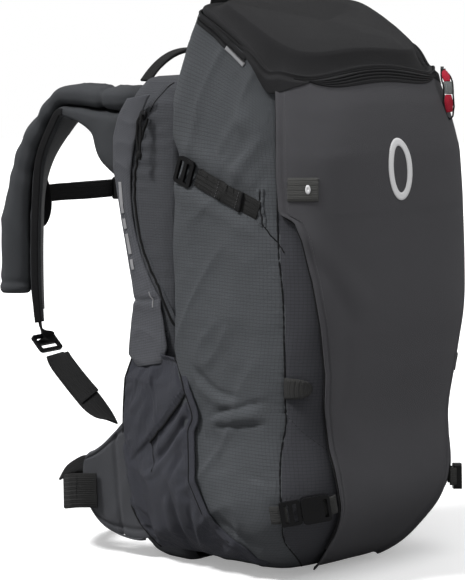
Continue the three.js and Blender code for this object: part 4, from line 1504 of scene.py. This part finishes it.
def trim_fairing(side_name, side, grid):
    """The bound edges, the zip along the front edge and the pocket's slanting lip."""
    def band(part, line, outs, width, thick, count):
        made = ribbon(f"fairing_{part}_{side_name}", stops_of(line, outs, width, thick), count)
        place(made, "pack", THIN_NYLON)

    def cord(part, line, radius, count):
        made = tube(f"fairing_{part}_{side_name}", line, radius, count)
        place(made, "pack", DARK_EDGE)

    away = np.tile([side, 0, 0], (len(grid), 1))
    front = grid[:, 0] + away * 0.8
    band("zip", front, away, 9, 1.6, 150)
    cord("welt", front + away * 0.6 + [0, 4.2, 0], 0.8, 150)
    cord("edge", grid[:, -1] + away * 0.2, 1.3, 150)
    surface = Surface(grid, False)
    lip, outs = surface.on_side(FAIRING_LIP, side, 0.9, 70)
    band("lip", lip, units(outs + np.array([side, 0, 0]) * 1.2), 8, 2.0, 90)
    cord("slit", lip - [0, 2.6, 3.6], 1.2, 90)
    dart, _ = surface.on_side(FAIRING_DART, side, 0.5, 30)
    cord("dart", dart, 0.7, 50)


both(make_fairing)

# ---------- back pads and shoulder straps ----------

PAD_HEIGHTS = (168, 190, 240, 300, 360, 392)
# each cushion's node, middle, width, heights of its sections and thickness
BACK_PADS = {
    "back_pad_left_cushion": ("back_pad_left", -58, 76, PAD_HEIGHTS, 13),
    "back_pad_right_cushion": ("back_pad_right", 58, 76, PAD_HEIGHTS, 13),
    "lumbar_cushion": ("lumbar_pad", 0, 196, (36, 56, 95, 130, 150), 17),
}


def unit_rear(z):
    heights, _, rears = np.array(UNIT_LEVELS).T
    return float(np.interp(z, heights, rears))


def make_back_pad(name, node, x, width, heights, thick):
    """A puffed cushion of spacer mesh, with two sewn channels across it."""
    stops = []
    for i, z in enumerate(heights):
        end = i in (0, len(heights) - 1)
        bulk = thick * (0.5 if end else 0.86)
        stops.append((x, unit_rear(z) + 1.2 + bulk / 2, z, 0, 1, 0, width * (0.84 if end else 0.97), bulk))
    pad = solid(name, sweep(stops, 60, oval(48, 0.5)))
    puff(pad, limit=2.2)
    sew_channels(pad, x, heights[0], heights[-1])
    place(pad, "pack", SPACER_MESH, [node])


def sew_channels(pad, x, low, high):
    """Presses two slightly drooping channels into the side of a pad that faces the wearer."""
    points = np.array([v.co for v in pad.data.vertices]) / MM
    rear = np.clip((points[:, 1] - unit_rear(0.5 * (low + high)) - 3) / 6, 0, 1)
    for share in (0.33, 0.66):
        line = low + (high - low) * share - 0.1 * np.abs(points[:, 0] - x)
        points[:, 1] -= 4.2 * rear * bell(points[:, 2] - line, 4.5)
    pad.data.vertices.foreach_set("co", (points * MM).astype(np.float32).ravel())


# the left strap from its root to its lower end: x, y, z, the way its outer face looks, width,
# thickness and the thickness of the pouch on it
STRAP_ROUTE = [
    (-80, 146, 450, 0, 0, 1, 74, 96, 0),
    (-84, 166, 455, 0, 0, 1, 70, 72, 0),
    (-86, 190, 470, 0, 0, 1, 66, 30, 23),
    (-90, 222, 480, 0, 0, 1, 64, 15, 22),
    (-93, 245, 481, -0.1, 0.35, 0.93, 62, 11, 19),
    (-99, 262, 460, -0.35, 0.75, 0.55, 61, 11, 19),
    (-108, 276, 428, -0.55, 0.8, 0.2, 60, 11, 22),
    (-114, 281, 390, -0.68, 0.73, 0, 58, 11, 26),
    (-120, 278, 340, -0.68, 0.73, 0, 54, 11, 31),
    (-122, 276, 285, -0.68, 0.73, 0, 48, 11, 32),
    (-123, 271, 244, -0.68, 0.73, 0, 34, 9, 0),
]
STRAP_ROWS = 150
# the edge that the chest webbing runs on: its heights, how far back it begins, and where it reaches
RAIL = {"low": 349, "high": 406, "behind": 280, "x": -83, "y": 292.8}


def round_ends(grid, first, last):
    """Draws the first and last rows of a closed grid in, like the ends of a pad."""
    centre = grid.mean(axis=1, keepdims=True)
    run = run_along(centre[:, 0])
    size = np.ones(len(grid))
    for from_end, reach in ((run, first), (run[-1] - run, last)):
        if reach:
            size *= np.sqrt(np.clip(1 - (1 - np.clip(from_end / reach, 0, 1)) ** 2, 0.02, 1))
    return centre + (grid - centre) * size[:, None, None]


def make_strap(side_name, side):
    """A foam strap, its cloth side outwards."""
    stops = [row[:8] for row in STRAP_ROUTE]
    grid = round_ends(sweep(stops, STRAP_ROWS, oval(56, 0.5)), 0, 8)
    relief = 0.8 * creases(grid, 48, 81.0) + 0.5 * wander(grid, 20, 82.0)
    far = np.clip(np.linspace(0, 1, len(grid)) * 8, 0, 1)[:, None]
    grid = grid + grid_normals(grid, True) * (relief * far)[..., None]
    strap = solid(f"strap_{side_name}", mirror_x(grid, side))
    place(strap, "pack", PAD_CLOTH, [f"shoulder_strap_{side_name}"])


def make_strap_trim(side_name, side):
    """The strap's bound edges, the short edge that the chest webbing runs on, and the mesh lining."""
    path = curve([row[:8] for row in STRAP_ROUTE], STRAP_ROWS)
    along = units(np.gradient(path[:, :3], axis=0))
    across = units(np.cross(along, path[:, 3:6]))
    face = np.cross(across, along)
    for edge_name, share in (("a", -1), ("b", 1)):
        line = path[40:, :3] + across[40:] * share * (path[40:, 6:7] / 2 + 0.2)
        binding = stops_of(line, across[40:] * share, 8, 1.8)
        piece = ribbon(f"strap_binding_{edge_name}_{side_name}", mirror_stops(binding, side), 170)
        place(piece, "pack", DARK_EDGE)
    edge = path[:, :3] + across * path[:, 6:7] / 2
    low, high = RAIL["low"], RAIL["high"]
    near = edge[(edge[:, 2] > low) & (edge[:, 2] < high) & (edge[:, 1] > RAIL["behind"])]
    reach = near * (0, 0, 1) + (RAIL["x"], RAIL["y"], 0)
    span = (reach - near) * np.sin(np.linspace(0, math.pi, len(near)))[:, None] ** 0.35
    outs = np.cross(units(span + (0.01, 0, 0)), (0, 0, 1))
    wide = np.linalg.norm(span, axis=1) + 1
    rail = np.column_stack([near + span / 2, outs, wide, np.full(len(near), 2.0)])
    piece = ribbon(f"strap_rail_{side_name}", mirror_stops(rail, side), 60)
    place(piece, "pack", DARK_EDGE)
    lined = slice(36, 144)
    inwards = -face[lined]
    inner = path[lined, :3] + inwards * (path[lined, 7:8] / 2 - 0.4)
    inner = np.column_stack([inner, inwards, path[lined, 6] - 12, np.full(len(inner), 4.0)])
    lining = ribbon(f"strap_mesh_{side_name}", mirror_stops(inner, side), 130, oval(28, 0.55))
    place(lining, "pack", SPACER_MESH)


def mirror_stops(stops, side):
    """Sweep stops drawn for the wearer's left, moved to the right side if side is 1."""
    moved = np.array(stops, float)
    moved[:, 0] *= -side
    moved[:, 3] *= -side
    return moved


# how far the pouch's mouth is drawn in, and how far past its end, ring by ring
POUCH_LIP = [(0.96, 4.0), (0.86, 6.4), (0.74, 6.0), (0.70, -6)]


def make_pouch():
    """A stuffed cloth tube on the left strap, open at its lower end where the trigger pulls out."""
    stops = [(-82, 132, 497, 0, 0.1, 1, 60, 22), (-84, 160, 497.5, 0, 0, 1, 60, 25)]
    for x, y, z, a, b, c, width, thick, bulk in STRAP_ROUTE[2:-1]:
        out = units(np.array([a, b, c], float))
        centre = np.array([x, y, z]) + out * (thick / 2 + 1.2 + bulk / 2)
        stops.append((*centre, *out, min(width, 58) * 0.99, bulk))
    grid = round_ends(sweep(stops, 170, oval(64, 0.72)), 26, 0)
    run = np.linspace(0, 1, len(grid))[:, None]
    angle = np.linspace(0, 2 * math.pi, 64, endpoint=False)[None, :]
    bend = bell(run - 0.46, 0.09) + 0.5 * bell(run - 0.66, 0.05)
    relief = bend * 1.7 * np.sin(run * 70 + 2.2 * np.sin(angle) + 3 * wander(grid, 60, 91.0))
    relief += 2.4 * creases(grid, 64, 93.0, (1, 1, 0.7)) + 1.2 * wander(grid, 26, 94.0)
    relief -= 2.6 * bell(run - 0.17 - 0.03 * np.sin(angle), 0.012)
    relief -= 1.6 * bell(run - 0.985, 0.012)
    grid = grid + grid_normals(grid, True) * (relief * np.clip(run * 12, 0, 1))[..., None]
    centre = grid[-1].mean(axis=0)
    onwards = units(centre - grid[-4].mean(axis=0))
    lip = [centre + (grid[-1] - centre) * size + onwards * reach for size, reach in POUCH_LIP]
    grid = np.concatenate([grid, np.stack(lip)])
    pouch = skin("pouch_left", grid, closed=True)
    tidy_normals(pouch)
    thicken(pouch, 1.6)
    place(pouch, "pack", PAD_CLOTH, ["trigger_pouch"])


for pad_name, pad_facts in BACK_PADS.items():
    make_back_pad(pad_name, *pad_facts)
both(make_strap, make_strap_trim)
make_pouch()

# ---------- webbing ----------

# length, width and height of the thick stitches across webbing
TACK = (2, 0.7, 0.5)
TAIL_SHIFT = 2.4
HAUL = {"half": 77, "y": 146, "base": 517.2, "rise": 34, "power": 2.4}


def make_haul_loop():
    """A grab loop that arches up from its two sewn ends."""
    stops = []
    for share in np.linspace(-1, 1, 25):
        steep = HAUL["power"] * abs(share) ** (HAUL["power"] - 1)
        slope = steep * math.copysign(1, share) * HAUL["rise"] / HAUL["half"]
        z = HAUL["base"] + HAUL["rise"] * (1 - abs(share) ** HAUL["power"])
        stops.append((share * HAUL["half"], HAUL["y"], z, slope, 0, 1, 16, 2.4))
    place(ribbon("haul_loop_webbing", stops, 150), "haul_loop", WEBBING, ["haul_loop"])
    lining = [(x, y, z - 2.5, a, b, c, 11, 1.8) for x, y, z, a, b, c, _, _ in stops[3:-3]]
    place(ribbon("haul_loop_lining", lining, 100), "haul_loop", LIGHT_WEBBING)


# from the strap's lower end into the ladder lock, on the left
STRAP_END_LOOP = [
    (-122.5, 271, 246, -0.68, 0.73, 0, 24, 2),
    (-123.5, 268, 236, -0.6, 0.75, 0.2, 25, 2),
    (-124, 262, 227, -0.3, 0.5, 0.8, 25, 2),
    (-124, 257, 224, 0.3, -0.4, 0.86, 25, 2),
]


def make_lower_webbing(side_name, side):
    """The strap's lower webbing, doubled at its upper end, with a free tail beside it."""
    edge_on = units(np.array([0.73, 0.68, 0]))
    flat = units(np.array([0.58, -0.51, 0.63]))
    route = [
        ((-125, 244, 210), edge_on * 0.5 + flat * 0.5, 22),
        ((-127, 229, 199), flat, 25),
        ((-130, 193, 174), flat, 25),
        ((-132, 166, 157), edge_on * 0.45 + flat * 0.55, 24),
        ((-134, 143, 147), edge_on, 20),
    ]
    points = np.array([r[0] for r in route], float)
    along = units(np.gradient(points, axis=0))
    outs = np.cross([units(r[1]) for r in route], along)
    stops = np.column_stack([points, outs, [r[2] for r in route], [WEB_THICK] * len(route)])
    strap = ribbon(f"lower_webbing_{side_name}_strap", mirror_stops(stops, side), 110)
    place(strap, "pack", WEBBING, [f"lower_webbing_{side_name}"])
    # the free tail, beside the upper part of the strap and just under it
    tail = curve(stops, 60)[2:38]
    across = units(np.cross(np.gradient(tail[:, :3], axis=0), tail[:, 3:6]))
    tail[:, :3] += across * TAIL_SHIFT - units(tail[:, 3:6]) * 2.2
    tail[:, 6] = 24
    piece = ribbon(f"webbing_tail_{side_name}", mirror_stops(tail, side), 70)
    place(piece, "pack", WEBBING)
    piece = ribbon(f"strap_end_webbing_{side_name}", mirror_stops(STRAP_END_LOOP, side), 40)
    place(piece, "pack", LIGHT_WEBBING)


def make_sternum():
    """The chest webbing: the left end carries the plug, the right end the socket."""
    def web(name, rows, count, stands_for=()):
        stops = [(*row, 0, 1, 0, WEB, WEB_THICK) for row in rows]
        made = ribbon(f"sternum_webbing_{name}", stops, count)
        place(made, "sternum_strap", WEBBING, stands_for)

    left = [(-84.5, 297, 386), (-60, 297.2, 386.4), (-20, 297.2, 385.6), (36, 297.2, 386)]
    web("left_strap", left, 80, ["sternum_webbing_left"])
    web("fold", [(x, 299.4, 386.2) for x in (-46, -20, 10, 34)], 40)
    line = [(-44, 300.6, z) for z in np.linspace(378, 394, 8)]
    stitch = dashes("sternum_stitch", line, [(0, 1, 0)] * 8, TACK, 2.4)
    place(stitch, "sternum_strap", THREAD)
    web("right_strap", [(x, 297.2, 386) for x in (69, 74, 79, 84)], 20, ["sternum_webbing_right"])


# the upper side strap's line, and the hems and seams beside its gathered end, as y and z
COMPRESSION_LINE = [(-2, 423), (-30, 413), (-58, 403), (-85, 393)]
COMPRESSION_HEMS = {
    0: [(-84.5, 415), (-84, 396), (-87, 377)],
    -5: [(-89.5, 415), (-89, 396), (-92, 377)],
}
COMPRESSION_SEAMS = {
    "slit": [(-86.5, 413), (-86.5, 396), (-89.5, 378)],
    "dart": [(-89, 379), (-101, 366), (-113, 352)],
}


def make_compression(side_name, side):
    """The upper side strap, doubled behind its lock, with the sewn hem it is gathered into."""
    points, outs = on_bag.on_side(COMPRESSION_LINE, side, 2.0, 60)
    steady = units(outs * 0.4 + np.array([side, 0, 0]) * 0.6)
    strap = ribbon(f"compression_strap_{side_name}_webbing", stops_of(points, steady, WEB, WEB_THICK), 110)
    place(strap, "pack", LIGHT_WEBBING, [f"compression_strap_{side_name}"])
    over = points[:44] + steady[:44] * 2.3
    fold = ribbon(f"compression_fold_{side_name}", stops_of(over, steady[:44], WEB, WEB_THICK), 60)
    place(fold, "pack", LIGHT_WEBBING)
    across = np.cross(units(np.gradient(points, axis=0)), steady)
    for name, index in (("middle", 22), ("fold", 41)):
        row = [over[index] + steady[index] + across[index] * s for s in np.linspace(-8, 8, 8)]
        stitch = dashes(f"compression_stitch_{name}_{side_name}", row, [steady[index]] * 8, TACK, 2.5)
        place(stitch, "pack", THREAD)
    stop = stops_of(points[43:46] + steady[43:46] * 2.4, steady[43:46], WEB + 1, 4.0)
    place(ribbon(f"compression_stop_{side_name}", stop, 8), "pack", DARK_EDGE)
    for shift, line in COMPRESSION_HEMS.items():
        hem, normals = on_bag.on_side(line, side, 0.9, 50)
        ripple = 0.5 * np.sin(np.linspace(0, 24, 50))[:, None] * normals
        calm = units(normals * 0.3 + np.array([side, 0, 0]))
        piece = ribbon(f"compression_hem_{shift}_{side_name}", stops_of(hem + ripple, calm, 3.6, 2.0), 90)
        place(piece, "pack", RIPSTOP)
    for name, line in COMPRESSION_SEAMS.items():
        notch, _ = on_bag.on_side(line, side, 0.8, 30)
        seam = tube(f"compression_{name}_{side_name}", notch, 0.8, count=40)
        place(seam, "pack", DARK_EDGE)


make_haul_loop()
make_sternum()
both(make_lower_webbing, make_compression)

# ---------- the hip belt ----------

# the left wing from its root to its tip: y, x, top, bottom, thickness
WING_SHAPE = [
    (94, -125, 138, 24, 4),
    (108, -128, 150, 20, 6),
    (122, -131, 151, 21, 10),
    (136, -135, 136.5, 25, 13),
    (149, -140, 122, 34, 14),
    (158, -144.5, 114, 46, 14),
    (165, -148, 110, 61, 12),
    (170, -150, 104, 78, 8),
]
# where the right wing's cloth begins and ends its turn from the pack's body to the belt's
WING_BEND = {"start": (132, 130, 84), "end": (137, 150, 84)}
BELT_ROUTE = [
    (-151, 150, 72, -1, 0.4, 0),
    (-157, 164, 71, -1, 0.35, 0),
    (-158.6, 178, 69, -1, 0.25, 0),
    (-156, 191, 66, -1, 0.45, 0),
    (-141, 213, 61, -0.8, 0.7, 0),
    (-104, 236, 60, -0.2, 1, 0),
    (-66, 244, 60, 0, 1, 0),
]
# how far from the middle each half of the belt ends, at the plug and at the socket
BELT_ENDS = {"left": 36, "right": 45}
BELT_TAIL = [
    (-144, 158, 99, -1, 0.25, 0.1, 19, 1.8),
    (-148, 172, 99, -1, 0.25, 0.1, 18, 1.8),
    (-149, 186, 94.5, -1, 0.25, 0.1, 14, 1.8),
    (-148.5, 200, 86.5, -1, 0.25, 0.1, 11, 1.8),
    (-148, 213, 75, -1, 0.25, 0.1, 2, 1.8),
]


def hip_bend(side_name, side):
    """The bodies that the wing's cloth runs between, and where it turns from one to the other."""
    start, end = ((side * x * MM, y * MM, z * MM) for x, y, z in WING_BEND.values())
    return "pack", f"hip_{side_name}", start, end


def wing_grid():
    """Upright sections of the left wing, each a rounded slab between its top and bottom edges."""
    rows = []
    for y, x, top, bottom, thick in curve(WING_SHAPE, 80):
        ring = []
        for out, up in oval(96, 0.5):
            z = (top + bottom) / 2 + up * (top - bottom) / 2
            ring.append((x - out * thick / 2 * 0.94, y + out * thick / 2 * 0.34, z))
        rows.append(ring)
    return np.array(rows)


def make_wing(side_name, side):
    """The wing's foam and cloth, pressed flat along its sewn edges, and the edges' binding."""
    bend = hip_bend(side_name, side)
    grid = round_ends(wing_grid(), 0, 7)
    normals = grid_normals(grid, True)
    shape = curve(WING_SHAPE, 80)
    middle = (shape[:, 2] + shape[:, 3])[:, None] / 2
    height = (grid[..., 2] - middle) / ((shape[:, 2] - shape[:, 3])[:, None] / 2)
    relief = 1.5 * creases(grid, 54, 101.0, (1, 1.4, 0.5)) + 0.7 * wander(grid, 30, 103.0)
    relief -= 1.8 * bell(np.abs(height) - 0.84, 0.04) + 2.2 * bell(grid[..., 1] - 131 - 5 * height, 2.4)
    grid = grid + normals * relief[..., None]
    wing = solid(f"hip_wing_{side_name}_pad", mirror_x(grid, side))
    place(wing, bend, HIP_CLOTH, [f"hip_wing_{side_name}"])
    for name, column, share in (("top", 2, 1), ("bottom", 3, -1)):
        line = np.column_stack([shape[8:-2, 1], shape[8:-2, 0], shape[8:-2, column] + share * 0.2])
        edge = stops_of(line, np.tile([-0.3, 0, share], (len(line), 1)), 7, 1.8)
        piece = ribbon(f"hip_binding_{name}_{side_name}", mirror_stops(edge, side), 110)
        place(piece, bend, HIP_CLOTH)


def make_belt(side_name, side):
    """Half of the belt's webbing, with a row of stitches and its free tail."""
    body = f"hip_{side_name}"
    end = BELT_ENDS[side_name]
    rows = BELT_ROUTE + [(-end - 14, 245, 60, 0, 1, 0), (-end, 245, 60, 0, 1, 0)]
    stops = [(*row, BELT, WEB_THICK) for row in rows]
    belt = ribbon(f"belt_webbing_{side_name}_strap", mirror_stops(stops, side), 220)
    place(belt, body, LIGHT_WEBBING, [f"belt_webbing_{side_name}"])
    sewn = curve(stops, 60)[8, :3]
    row = mirror_x([sewn + (-1.2, 0, z) for z in np.linspace(-16, 16, 14)], side)
    stitch = dashes(f"belt_stitch_{side_name}", row, [(side, 0, 0)] * 14, (1.8, 0.7, 0.5), 2.4)
    place(stitch, body, DARK_EDGE)
    tail = ribbon(f"belt_tail_{side_name}", mirror_stops(BELT_TAIL, side), 60)
    place(tail, body, WEBBING)


both(make_wing, make_belt)

# ---------- zip pulls and the lower buckles' webbing ----------


def unit(*way):
    return units(np.array(way, float))


SLIDER_REACH = 3.9
# a pull's coloured bands, as points of its 60-point spine, and whether a band's ends are drawn in
PULL_BANDS = {
    "upper": (3, 22, RED_CORD, True),
    "middle": (22, 35, GREY_CORD, False),
    "lower": (35, 53, RED_CORD, True),
}
FRONT_PULL = {
    "spine": [(122, -112, 530), (112, -121, 524), (107, -128, 514), (104, -131, 502), (104, -132, 490),
              (105, -133, 478)],
    "out": (-0.55, -0.83, 0.05),
}
# how far down the side pull a point of its spine is, and how far out from a straight line
SIDE_PULL = {
    "slider": (142.5, -84.8, 500),
    "out": (0.971, -0.239, 0),
    "lean": 20,
    "spine": [(0, 0), (15, 0.8), (30, 0.6), (46, -0.6)],
}


def pull_lines(slider, out, lean, thick):
    """The top of a pull, the way it hangs, the way across it and the way out from the bag."""
    out = unit(*out)
    lean = math.radians(lean)
    up = np.array([0, 0, math.cos(lean)]) - out * math.sin(lean)
    top = np.array(slider, float) + out * (SLIDER_REACH + thick / 2) + (0, 0, 1)
    return top, -up, units(np.cross(out, up)), out


def make_red_pull(name, spine, out):
    """A flat woven tab, red, grey and red, held between two black cords that loop past its end."""
    path = curve(spine, 60)
    out = unit(*out)
    down = units(np.gradient(path, axis=0))
    right = units(np.cross(out, -down))
    face = units(np.cross(right, down))
    for band, (first, last, material, drawn_in) in PULL_BANDS.items():
        stops = stops_of(path[first:last], face[first:last], 9.6, 3.8)
        if drawn_in:
            share = np.linspace(0, 1, last - first)
            stops[:, 6:] *= 0.5 + 0.5 * np.sin(math.pi * (0.12 + 0.76 * share))[:, None]
        piece = ribbon(f"{name}_{band}", stops, 34, oval(20, 0.8))
        stands_for = [f"{name}_pull"] if band == "upper" else ()
        place(piece, f"{name}_pull", material, stands_for)
    for cord, side in (("near", -1), ("far", 1)):
        wide = side * np.interp(np.arange(60), [0, 7, 20, 34, 47, 56, 59], [0.4, 4, 5.8, 5.2, 6, 3.4, 0])
        wave = 0.6 * np.sin(np.arange(60) * 0.25 + side)
        line = path + right * wide[:, None] + face * wave[:, None]
        place(tube(f"{name}_cord_{cord}", line, 0.95), f"{name}_pull", BLACK_CORD)


# the pull's length, and the knot near its end: how far down, and how wide
BURST_PULL_LENGTH = 48
BURST_KNOT = [(39, 3), (41, 6.8), (45, 6.8), (47, 3)]


def make_burst_pull():
    """Two cords side by side, from the slider to a knot near their ends."""
    slider = (BURST["x"], *arc_point(BURST["radius"], BURST["slider"]))
    top, down, right, out = pull_lines(slider, (-1, 0, 0), 0, 2)
    for i, phase in enumerate((0, math.pi)):
        line = []
        for run in np.linspace(0, BURST_PULL_LENGTH, 80):
            turn = 0.5 * math.sin(run * 0.12) + phase
            spread = 2.0 * min(1, run / 6) + 0.8 * bell(run - 20, 8)
            away = 3.4 * min(1, run / 8) + 0.9 * math.sin(turn)
            line.append(top + down * run + right * spread * math.cos(turn) + out * away)
        piece = tube(f"burst_pull_cord_{i}", line, 1.35, tip=0.6)
        place(piece, "burst_pull", BLACK_CORD, ["burst_pull"] if i == 0 else ())
    knot = [(*(top + down * run + out * 3.4), *out, wide, wide * 0.8) for run, wide in BURST_KNOT]
    place(ribbon("burst_pull_knot", knot, 18, oval(16, 1)), "burst_pull", BLACK_CORD)


def make_corner_webbing(side_name, side):
    """Webbing from the gusset seam to the lower plug, and from the socket to the panel's edge."""
    right = unit(0.75, -0.66, 0.16)
    plug = np.array([-129, -128, 86.0])
    out = units(np.cross(right, unit(-0.1, 0.1, 1)))
    for name, body, spots in (
        ("seam", f"lower_plug_{side_name}", [(-31, 7), (-27, 3.5), (-22, 1.2), (-14, 0)]),
        ("panel", "pack", [(23, 0), (29, 1.5), (35, 5), (38, 9)]),
    ):
        stops = [(*(plug + right * run - out * sunk), *out, WEB - 1, WEB_THICK) for run, sunk in spots]
        piece = ribbon(f"corner_webbing_{name}_{side_name}", mirror_stops(stops, side), 40)
        place(piece, body, SEAM_WEBBING)


def make_side_pull():
    top, down, _, out = pull_lines(SIDE_PULL["slider"], SIDE_PULL["out"], SIDE_PULL["lean"], 4)
    spine = [top + down * run + out * bow for run, bow in SIDE_PULL["spine"]]
    make_red_pull("lid_side", spine, SIDE_PULL["out"])


make_red_pull("lid_front", FRONT_PULL["spine"], FRONT_PULL["out"])
make_side_pull()
make_burst_pull()
both(make_corner_webbing)

# ---------- what the harness unit holds ----------


AIRBAG = {"y": 83, "depth": 47, "pleats": 9}
# the left half of the folded airbag's arch: x, z and width
AIRBAG_ROUTE = [(-99, 228, 24), (-99, 250, 25), (-99, 330, 25), (-98.5, 410, 26), (-92, 448, 34),
                (-70, 466, 54), (0, 468, 60)]


def make_airbag():
    """The airbag's cloth, folded into pleats and packed in an arch round the blower."""
    arch = AIRBAG_ROUTE[:-1] + [(-x, z, wide) for x, z, wide in AIRBAG_ROUTE[::-1]]
    stops = [(x, AIRBAG["y"], z, 0, 1, 0, wide * 0.96, AIRBAG["depth"]) for x, z, wide in arch]
    steps = np.linspace(-1, 1, 2 * AIRBAG["pleats"] + 1)
    depth = [1.0 if i % 2 else 0.8 for i in range(len(steps))]
    section = [(t, d) for t, d in zip(steps, depth)] + [(t, -d) for t, d in zip(steps[::-1], depth[::-1])]
    grid = sweep(stops, 170, section)
    grid += grid_normals(grid, True) * (0.9 * wander(grid, 18, 111.0))[..., None]
    airbag = solid("airbag_pleats", grid)
    place(airbag, "pack", AIRBAG_CLOTH, ["airbag_folded"])


# the CAD nodes that stay: material, width of their softened edges, and names
NODE_FINISHES = [
    (HARD_PLASTIC, 0.5, ["battery_pack", "control_box", "blower_rear_shell", "blower_front_cover",
                         "intake_grille"]),
    (SHEET_PLASTIC, 0.3, ["frame_sheet", "impeller", "air_duct"]),
    (ALUMINIUM, 0.3, ["frame_stay", "motor", "motor_shaft"]),
    (BUCKLE, 0.7, ["strap_ladder_lock_left", "strap_ladder_lock_right", "sternum_plug", "sternum_socket",
                   "belt_plug", "belt_socket", "compression_lock_left", "compression_lock_right",
                   "lower_plug_left", "lower_plug_right", "lower_socket_left", "lower_socket_right"]),
    (ZIP_METAL, 0.6, ["lid_front_slider", "lid_side_slider", "burst_slider"]),
    (RUBBER, 0.3, ["check_valve_flap"]),
    (RUBBER_RED, 0.6, ["power_button"]),
    (RUBBER_RED, 0.8, ["trigger_handle"]),
    (LENS, 0.3, ["status_lens"]),
]


def finish_node(name, material, bevel):
    """A CAD node that stays: its own finish, and softened edges."""
    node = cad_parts[name]
    for held in node.material_slots:
        held.material = material
    weld = node.modifiers.new("weld", "WELD")
    weld.merge_threshold = 0.02 * MM
    soft = node.modifiers.new("soft edges", "BEVEL")
    soft.width = bevel * MM
    soft.segments = 2
    soft.limit_method = "ANGLE"
    soft.angle_limit = math.radians(35)
    soft.harden_normals = True


make_airbag()
for node_material, bevel_width, node_names in NODE_FINISHES:
    for node_name in node_names:
        finish_node(node_name, node_material, bevel_width)
